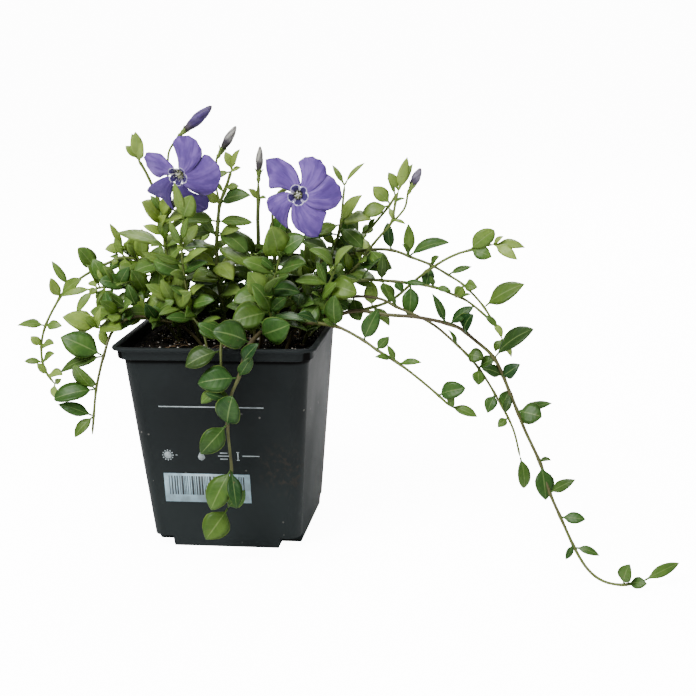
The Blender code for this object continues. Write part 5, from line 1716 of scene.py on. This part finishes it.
POT_OUTSIDE = [
    (BASE_HALF - 1.2, 0.0), (BASE_HALF - 0.45, 0.25), (BASE_HALF, EDGE_HEIGHT),
    (WALL_TOP_HALF, BAND_FOOT), (WALL_TOP_HALF + 0.6, BAND_FOOT + 0.15),
    (BAND_HALF - 0.7, BAND_FOOT + 0.2), (BAND_HALF - 0.2, BAND_FOOT + 0.5),
    (BAND_HALF - 0.1, BAND_FOOT + 1.1), (BAND_HALF, 92.0), (BAND_HALF + 0.3, 92.4),
    (LIP_HALF - 0.7, 92.6), (LIP_HALF - 0.15, 92.8), (LIP_HALF, 93.2), (LIP_HALF, 93.7),
    (LIP_HALF - 0.2, 94.05), (LIP_HALF - 0.6, POT_HEIGHT),
]
BAND_INSIDE = BAND_HALF - WALL
POT_INSIDE = [
    (BASE_HALF - WALL, FLOOR), (WALL_TOP_HALF - WALL, BAND_FOOT - 0.6), (BAND_INSIDE, BAND_FOOT + 0.8),
    (BAND_INSIDE + 0.1, 93.2), (BAND_INSIDE + 0.5, 94.0), (BAND_INSIDE + 1.2, POT_HEIGHT + 0.4),
    (BAND_INSIDE + 1.2, POT_HEIGHT + 3.0),
]
print("pot outline:", len(POT_OUTSIDE), "rings outside and", len(POT_INSIDE), "inside")

# %% Loft a rounded square
def corner_place(number, half, radius):
    """One of the numbered points round a square with round corners."""
    corner, step = divmod(number, CORNER_STEPS + 1)
    turn = math.radians(90) * (corner + step / CORNER_STEPS)
    centre = Matrix.Rotation(math.radians(90) * corner, 2) @ Vector((1, 1)) * (half - radius)
    return centre + Vector((math.cos(turn), math.sin(turn))) * radius


def rounded_block(rings):
    """A closed block through rounded squares, each a half width and a height."""
    bm = bmesh.new()
    number = bm.verts.layers.int.new("number")
    circle = bmesh.ops.create_circle(bm, cap_ends=True, segments=4 * (CORNER_STEPS + 1), radius=1)
    for index, vert in enumerate(circle["verts"]):
        vert[number] = index
    cap = bm.faces[:][0]
    for index, (half, height) in enumerate(rings):
        if index:
            grown = bmesh.ops.extrude_face_region(bm, geom=[cap])
            if index > 1:
                bm.faces.remove(cap)
            cap = pick(grown["geom"], bmesh.types.BMFace)[0]
        for vert in cap.verts:
            place = corner_place(vert[number], half, half * CORNER_RATIO)
            vert.co = (place.x, place.y, height)
    bmesh.ops.recalc_face_normals(bm, faces=bm.faces[:])
    return bm


print("the pot's outline has", 4 * (CORNER_STEPS + 1), "points")

# %% Cutters for the foot and the drains
CUT_OUTSIDE = 9
CUT_SLOPE = 0.8
CUT_BELOW = -2.0


def cutter(bm, name, collection):
    """A helper object for a Boolean, in metres."""
    bm.transform(Matrix.Scale(MM, 4))
    return to_object(bm, name, collection)


def corner_blocks(reach, rise, collection):
    """Four blocks that lift the corners of a square foot."""
    for turn in range(4):
        bm = bmesh.new()
        for vert in bmesh.ops.create_cube(bm, size=1)["verts"]:
            top = vert.co.z > 0
            near = BASE_HALF - reach + (CUT_SLOPE if top else 0)
            vert.co.x = near if vert.co.x < 0 else BASE_HALF + CUT_OUTSIDE
            vert.co.y = near if vert.co.y < 0 else BASE_HALF + CUT_OUTSIDE
            vert.co.z = rise if top else CUT_BELOW
        bm.transform(Matrix.Rotation(math.radians(90) * turn, 4, "Z"))
        cutter(bm, f"corner_{rise}_{turn}", collection)


def cut_away(target, cutters):
    """Subtracts every object of a collection and removes them."""
    modifier = target.modifiers.new("cut", "BOOLEAN")
    modifier.operation = "DIFFERENCE"
    modifier.operand_type = "COLLECTION"
    modifier.collection = cutters
    graph = bpy.context.evaluated_depsgraph_get()
    mesh = bpy.data.meshes.new_from_object(target.evaluated_get(graph))
    target.modifiers.clear()
    target.data = mesh
    for made in list(cutters.objects):
        bpy.data.objects.remove(made)


# %% Cut the pot out
def workshop(name):
    """A collection for helper objects."""
    made = bpy.data.collections.new(name)
    room.children.link(made)
    return made


bench, tools = workshop("bench"), workshop("tools")
hollow = cutter(rounded_block(POT_INSIDE), "hollow", bench)
corner_blocks(FOOT_CORNER + WALL, FOOT_RISE + FLOOR, tools)
cut_away(hollow, tools)
pot_solid = cutter(rounded_block(POT_OUTSIDE), "pot_solid", bench)
corner_blocks(FOOT_CORNER, FOOT_RISE, tools)
cut_away(pot_solid, tools)
bench.objects.unlink(hollow)
tools.objects.link(hollow)
cut_away(pot_solid, tools)
for turn in range(4):
    bm = bmesh.new()
    bmesh.ops.create_cone(
        bm, cap_ends=True, segments=20, radius1=DRAIN_RADIUS, radius2=DRAIN_RADIUS, depth=6
    )
    side = BASE_HALF - FOOT_CORNER / 2 - 0.5
    bm.transform(Matrix.Translation((side, side, FOOT_RISE)))
    bm.transform(Matrix.Rotation(math.radians(90) * turn, 4, "Z"))
    cutter(bm, f"drain_{turn}", tools)
cut_away(pot_solid, tools)
pot_bm = bmesh.new()
pot_bm.from_mesh(pot_solid.data)
bpy.data.objects.remove(pot_solid)
bpy.data.collections.remove(bench)
bpy.data.collections.remove(tools)
pot_bm.transform(Matrix.Scale(1 / MM, 4))
bmesh.ops.remove_doubles(pot_bm, verts=pot_bm.verts[:], dist=0.001)
print("pot faces before its bevel:", len(pot_bm.faces))

# %% Take the knife edges off
# The cuts leave a few stray points on flat faces, not the same ones each run, and a clamped bevel
# can shrink to nothing beside them. This width is under a third of the shortest edge, so it needs
# no clamp and comes out the same each run.
BEVEL_WIDTH = 0.0587
SHARP = math.radians(40)

sharp_edges = [
    edge for edge in pot_bm.edges
    if edge.is_manifold and edge.calc_face_angle(0.0) > SHARP and edge.calc_length() > 0.3
]
bmesh.ops.bevel(
    pot_bm, geom=sharp_edges, offset=BEVEL_WIDTH, offset_type="OFFSET", affect="EDGES", segments=2,
    profile=0.5, material=-1, clamp_overlap=False,
)
print("bevelled edges:", len(sharp_edges))

# %% [markdown]
# ## The pot's plastic
# Moulded plastic is never quite flat or clean. Broad soft noise makes the gloss uneven, fine grain
# gives the matt skin of the mould, rare pale specks are dried lime and peat dust, and a brownish
# smear low on the right shows where wet soil ran down. The pot turns paler towards the bottom, and
# the inside of the rim is painted nearly black, as painted shade, and made duller. The same speck
# group serves the soil.

# %% The group for specks
specks, given, result = new_group(
    "specks", {"Vector": "Vector", "Scale": "Float", "Size": "Float"}, ["Specks"]
)
cells = add_node(specks, "TexVoronoi", feature="F1")
feed(specks, given["Vector"], cells.inputs["Vector"])
feed(specks, given["Scale"], cells.inputs["Scale"])
tone = add_node(specks, "SeparateColor")
feed(specks, cells.outputs["Color"], tone.inputs[0])
chosen = mask(specks, tone.outputs["Red"], 0.86, 0.87)
near = calculate(specks, "LESS_THAN", cells.outputs["Distance"], given["Size"])
feed(specks, times(specks, chosen, near), result["Specks"])
print("group:", specks.name)

# %% The plastic
pot_plastic, tree, shader = new_material("pot_plastic", 0.5)
shader["Specular IOR Level"].default_value = 0.12
where = object_place(tree)
uneven = use_group(tree, uneven_growth, Vector=where, Scale=22.0)
grey = blend_colours(tree, uneven["Blotches"], (0.0230, 0.0268, 0.0278), (0.0305, 0.0360, 0.0370))
dust = use_group(tree, specks, Vector=where, Scale=260.0, Size=0.13)["Specks"]
grey = mix_in(tree, dust, 0.45, grey, (0.30, 0.29, 0.27))
smear_place = add_node(tree, "VectorMath", operation="DISTANCE")
feed(tree, where, smear_place.inputs[0])
smear_place.inputs[1].default_value = (0.029, -0.037, 0.038)
smear = mask(tree, smear_place.outputs["Value"], 0.017, 0.002)
smear_grain = mask(tree, noise(tree, where, 420.0, 4.0), 0.45, 0.7)
smear = times(tree, times(tree, smear, smear_grain), 0.5)
grey = blend_colours(tree, smear, grey, (0.10, 0.075, 0.055))
sides = add_node(tree, "VectorMath", operation="ABSOLUTE")
feed(tree, where, sides.inputs[0])
parts = add_node(tree, "SeparateXYZ")
feed(tree, sides.outputs["Vector"], parts.inputs[0])
outwards = calculate(tree, "MAXIMUM", parts.outputs["X"], parts.outputs["Y"])
# The pot is made paler towards the bottom, from 75 mm down to the foot.
grey = mix_in(tree, mask(tree, parts.outputs["Z"], 0.075, 0.0), 0.45, grey, (0.050, 0.061, 0.062))
# Painted shade: inside the band, above the soil, the wall is painted nearly black; it is also made
# rougher.
inner_wall_shade = mask(tree, outwards, 0.0424, 0.0418)
inside = times(tree, inner_wall_shade, mask(tree, parts.outputs["Z"], 0.086, 0.0875))
grey = mix_in(tree, inside, 0.85, grey, (0.005, 0.004, 0.0035))
feed(tree, grey, shader["Base Color"])
gloss = scaled(tree, uneven["Blotches"], 0.10, 0.42)
gloss = calculate(tree, "ADD", gloss, times(tree, inside, 0.45))
gloss = calculate(tree, "ADD", gloss, times(tree, smear, 0.5))
feed(tree, gloss, shader["Roughness"])
wide = noise(tree, where, 55.0, 1.0)
height = scaled(tree, uneven["Grain"], 0.12, wide)
feed(tree, bump(tree, height, 0.35, 0.0006), shader["Normal"])
print("plastic:", pot_plastic.name)

# %% The finished pot
pot_piece = finish_piece(pot_bm, "nursery_pot", [pot_plastic], ["pot"])
pot_piece.data.set_sharp_from_angle(angle=math.radians(50))

# %% [markdown]
# ## Plain marks on the front
# The front of such a pot is printed in pale ink. These marks are plain ones that belong to nobody:
# a thin rule, care signs for sun, half shade, water and height, and a pale label with upright bars.
# Each is a flat shape, a twentieth of a millimetre thick, laid on the sloping front wall.

# %% Lay flat shapes on the front wall
INK_THICK = 0.05


def on_front(x, z, out=0.0):
    """The place on the pot's front wall at this x and height."""
    height = (z - EDGE_HEIGHT) / (BAND_FOOT - EDGE_HEIGHT)
    half = BASE_HALF + (WALL_TOP_HALF - BASE_HALF) * height
    return Vector((x, -half - out, z))


def press_on(bm, first_vert, lift=0.0):
    """Lays the newest verts, drawn as x and y, on the front wall and gives them thickness."""
    bm.verts.ensure_lookup_table()
    drawn = bm.verts[first_vert:]
    faces = list({face for vert in drawn for face in vert.link_faces})
    grown = bmesh.ops.extrude_face_region(bm, geom=faces)["geom"]
    front = pick(grown, bmesh.types.BMVert)
    for vert in drawn:
        vert.co = on_front(vert.co.x, vert.co.y, lift + 0.01)
    for vert in front:
        vert.co = on_front(vert.co.x, vert.co.y, lift + INK_THICK)


def bar(bm, x, z, width, height, lift=0.0):
    """An upright or lying bar round this middle."""
    first = len(bm.verts)
    size = Matrix.Diagonal((width, height, 1.0, 1.0))
    bmesh.ops.create_grid(
        bm, x_segments=1, y_segments=1, size=0.5, matrix=Matrix.Translation((x, z, 0)) @ size
    )
    press_on(bm, first, lift)


def disc(bm, x, z, radius, sides=20):
    """A filled disc."""
    first = len(bm.verts)
    bmesh.ops.create_circle(
        bm, cap_ends=True, segments=sides, radius=radius, matrix=Matrix.Translation((x, z, 0))
    )
    press_on(bm, first)


def ring(bm, x, z, radius, width):
    """An open ring."""
    first = len(bm.verts)
    made = bmesh.ops.create_circle(
        bm, cap_ends=True, segments=24, radius=radius, matrix=Matrix.Translation((x, z, 0))
    )
    face = made["verts"][0].link_faces[0]
    bmesh.ops.inset_region(bm, faces=[face], thickness=width)
    bmesh.ops.delete(bm, geom=[face], context="FACES")
    press_on(bm, first)


# %% Draw the marks
SUN_X, SUN_Z, SUN_RAYS, RAY_OUT = -23.3, 44.2, 12, 2.3
DROP_X, DROP_Z = -8.2, 43.6

marks_bm = bmesh.new()
bar(marks_bm, -2.4, 67.0, 46.6, 0.55)
disc(marks_bm, SUN_X, SUN_Z, 1.7)
for number in range(SUN_RAYS):
    turn = math.radians(360 / SUN_RAYS * number)
    disc(marks_bm, SUN_X + RAY_OUT * math.cos(turn), SUN_Z + RAY_OUT * math.sin(turn), 0.36, 8)
bar(marks_bm, -19.4, 44.3, 1.0, 0.4)
ring(marks_bm, -16.1, 44.3, 1.95, 0.5)
first = len(marks_bm.verts)
drop = bmesh.ops.create_circle(
    marks_bm, cap_ends=True, segments=20, radius=1.6, matrix=Matrix.Translation((DROP_X, DROP_Z, 0))
)
for vert in drop["verts"]:
    above = max(0.0, vert.co.y - DROP_Z)
    vert.co.x = DROP_X + (vert.co.x - DROP_X) * (1 - above / 2.4)
    vert.co.y += above * 0.9
press_on(marks_bm, first)
for height, width in ((44.2, 5.2), (45.6, 3.4), (42.8, 3.4)):
    bar(marks_bm, 1.9, height, width, 0.5)
bar(marks_bm, 8.2, 44.2, 0.5, 4.0)
for level, hand in ((46.4, -1), (42.0, 1)):
    bar(marks_bm, 8.2, level + 0.35 * hand, 1.3, 0.4)
bar(marks_bm, 14.0, 44.4, 7.6, 0.5)
print("marks:", len(marks_bm.faces), "faces")

# %% The label and its bars
LABEL_LEFT, LABEL_RIGHT, LABEL_LOW, LABEL_HIGH = -26.0, 12.9, 21.9, 35.6
label_bm = bmesh.new()
bar(
    label_bm, (LABEL_LEFT + LABEL_RIGHT) / 2, (LABEL_LOW + LABEL_HIGH) / 2, LABEL_RIGHT - LABEL_LEFT,
    LABEL_HIGH - LABEL_LOW,
)
bars_bm = bmesh.new()
rng = random.Random("plain bars")
at = LABEL_LEFT + 2.2
while at < LABEL_RIGHT - 2.6:
    width = rng.choice((0.3, 0.3, 0.55, 0.9))
    bar(bars_bm, at + width / 2, 29.9, width, 9.0, lift=0.04)
    at += width + rng.choice((0.35, 0.5, 0.8))
print("bars:", len(bars_bm.faces) // 6)

# %% Ink and label finishes
def ink(name, colour, roughness):
    """Printing ink that is slightly worn."""
    material, tree, shader = new_material(name, roughness)
    uneven = unevenness(tree, 300.0)
    worn = mix_in(tree, uneven["Blotches"], 0.4, colour, (0.16, 0.18, 0.19))
    feed(tree, worn, shader["Base Color"])
    feed(tree, bump(tree, uneven["Grain"], 0.2, 0.00005), shader["Normal"])
    return material


pale_ink = ink("pale_ink", (0.46, 0.52, 0.54), 0.5)
label_blue = ink("label_blue", (0.42, 0.58, 0.66), 0.45)
bar_black = ink("bar_black", (0.035, 0.045, 0.05), 0.5)
for printed, name, finish in (
    (marks_bm, "care_signs", pale_ink), (label_bm, "pale_label", label_blue),
    (bars_bm, "label_bars", bar_black),
):
    bmesh.ops.recalc_face_normals(printed, faces=printed.faces[:])
    finish_piece(printed, name, [finish], [])

# %% [markdown]
# ## The soil
# Potting soil is peat: nearly black when damp, crumbly, threaded with fine brown roots and dotted
# with white perlite. The ground is a rounded block with many rings, ruffled by noise from a fixed
# seed. Crumbs, perlite and root threads lie on it as small shapes of a few faces each, and the
# perlite is the lightest, so it lies a little higher than the crumbs.

# %% Ruffle the ground
SOIL_GAP = 0.3
SOIL_LEVEL = 86.6
SOIL_RINGS = 16
SOIL_RISE = 2.7
SOIL_DIP = 2.0
SOIL_ROUND = 0.4

soil_edge = WALL_TOP_HALF - WALL - SOIL_GAP - 0.35
soil_top = BAND_INSIDE - 0.5
soil_rings = [(BASE_HALF - 4.0, FOOT_RISE + FLOOR + 1.0), (soil_edge, SOIL_LEVEL), (soil_top, 89.3)]
for number in range(SOIL_RINGS):
    share = (number + 0.5) / SOIL_RINGS
    soil_rings.append((soil_top * (1 - share), SOIL_LEVEL + SOIL_RISE - SOIL_DIP * share**SOIL_ROUND))
soil_bm = rounded_block(soil_rings)
rng = random.Random("ground")
for vert in soil_bm.verts:
    if vert.co.z > SOIL_LEVEL + 0.2:
        vert.co.z += rng.uniform(-0.9, 0.9)
        vert.co.x += rng.uniform(-0.5, 0.5)
        vert.co.y += rng.uniform(-0.5, 0.5)
print("ground:", len(soil_bm.faces), "faces")

# %% Scatter crumbs and perlite
CRUMBS = 420
PERLITE = 260
ROOT_THREADS = 46
SCATTER_RISE = 2.9


def scatter_place(rng, edge):
    """A random place on the soil."""
    place = Vector((rng.uniform(-edge, edge), rng.uniform(-edge, edge), SOIL_LEVEL + SCATTER_RISE))
    outwards = max(abs(place.x), abs(place.y)) / edge
    return place - UP * SOIL_DIP * (1 - outwards) ** SOIL_ROUND


def add_lump(bm, rng, place, size, finish_number):
    """A rough lump of a few faces."""
    first_face = len(bm.faces)
    turn = Matrix.Rotation(rng.uniform(0, 6.28), 4, (rng.random(), rng.random(), 1.0))
    flat = Matrix.Diagonal((size, size * rng.uniform(0.6, 1.0), size * rng.uniform(0.5, 0.8), 1.0))
    lump = bmesh.ops.create_icosphere(
        bm, subdivisions=1, radius=1.0, matrix=Matrix.Translation(place) @ turn @ flat
    )
    for vert in lump["verts"]:
        vert.co += (vert.co - place) * rng.uniform(-0.25, 0.25)
    finish_newest(bm, first_face, finish_number)


rng = random.Random("crumbs")
for _ in range(CRUMBS):
    add_lump(soil_bm, rng, scatter_place(rng, soil_edge - 2), rng.uniform(0.35, 1.5), 0)
for _ in range(PERLITE):
    add_lump(soil_bm, rng, scatter_place(rng, soil_edge - 1) + UP * 0.6, rng.uniform(0.22, 0.72), 1)
for _ in range(ROOT_THREADS):
    start = scatter_place(rng, soil_edge - 8)
    way = Vector((rng.uniform(-1, 1), rng.uniform(-1, 1), 0)).normalized()
    bend = way.cross(UP) * rng.uniform(-0.5, 0.5)
    length = rng.uniform(4, 11)
    thread = [
        start + (way + bend * part) * length * part + UP * (0.3 + 0.9 * math.sin(3.1 * part))
        for part in (0.0, 0.25, 0.5, 0.75, 1.0)
    ]
    first_face = len(soil_bm.faces)
    add_tube(soil_bm, thread, [0.14] * 5, 4)
    finish_newest(soil_bm, first_face, 2)
print("soil with crumbs:", len(soil_bm.faces), "faces")

# %% The soil's finishes
peat, tree, shader = new_material("peat", 0.95)
where = object_place(tree)
uneven = use_group(tree, uneven_growth, Vector=where, Scale=260.0)
dark = blend_colours(tree, uneven["Blotches"], (0.006, 0.0048, 0.004), (0.026, 0.019, 0.013))
dark = mix_in(tree, uneven["Flecks"], 0.8, dark, (0.16, 0.12, 0.08))
bright = use_group(tree, specks, Vector=where, Scale=420.0, Size=0.3)["Specks"]
dark = mix_in(tree, bright, 0.7, dark, (0.16, 0.12, 0.08))
feed(tree, dark, shader["Base Color"])
height = scaled(tree, noise(tree, where, 700.0, 5.0), 2.0, uneven["Grain"])
feed(tree, bump(tree, height, 1.0, 0.0008), shader["Normal"])
shader["Specular IOR Level"].default_value = 0.25


def loose_bits(name, roughness, scale, detail, dark, pale, strength, depth):
    """The finish of small loose things: two colours and a bump from one noise."""
    material, tree, shader = new_material(name, roughness)
    grains = noise(tree, object_place(tree), scale, detail)
    feed(tree, blend_colours(tree, grains, dark, pale), shader["Base Color"])
    feed(tree, bump(tree, grains, strength, depth), shader["Normal"])
    return material


perlite = loose_bits(
    "perlite", 0.85, 1500.0, 3.0, (0.42, 0.38, 0.32), (0.72, 0.70, 0.65), 0.6, 0.0003
)
root_thread = loose_bits(
    "root_thread", 0.8, 600.0, 2.0, (0.10, 0.06, 0.035), (0.26, 0.18, 0.10), 0.4, 0.0001
)
finish_piece(soil_bm, "peat_soil", [peat, perlite, root_thread], ["soil"])
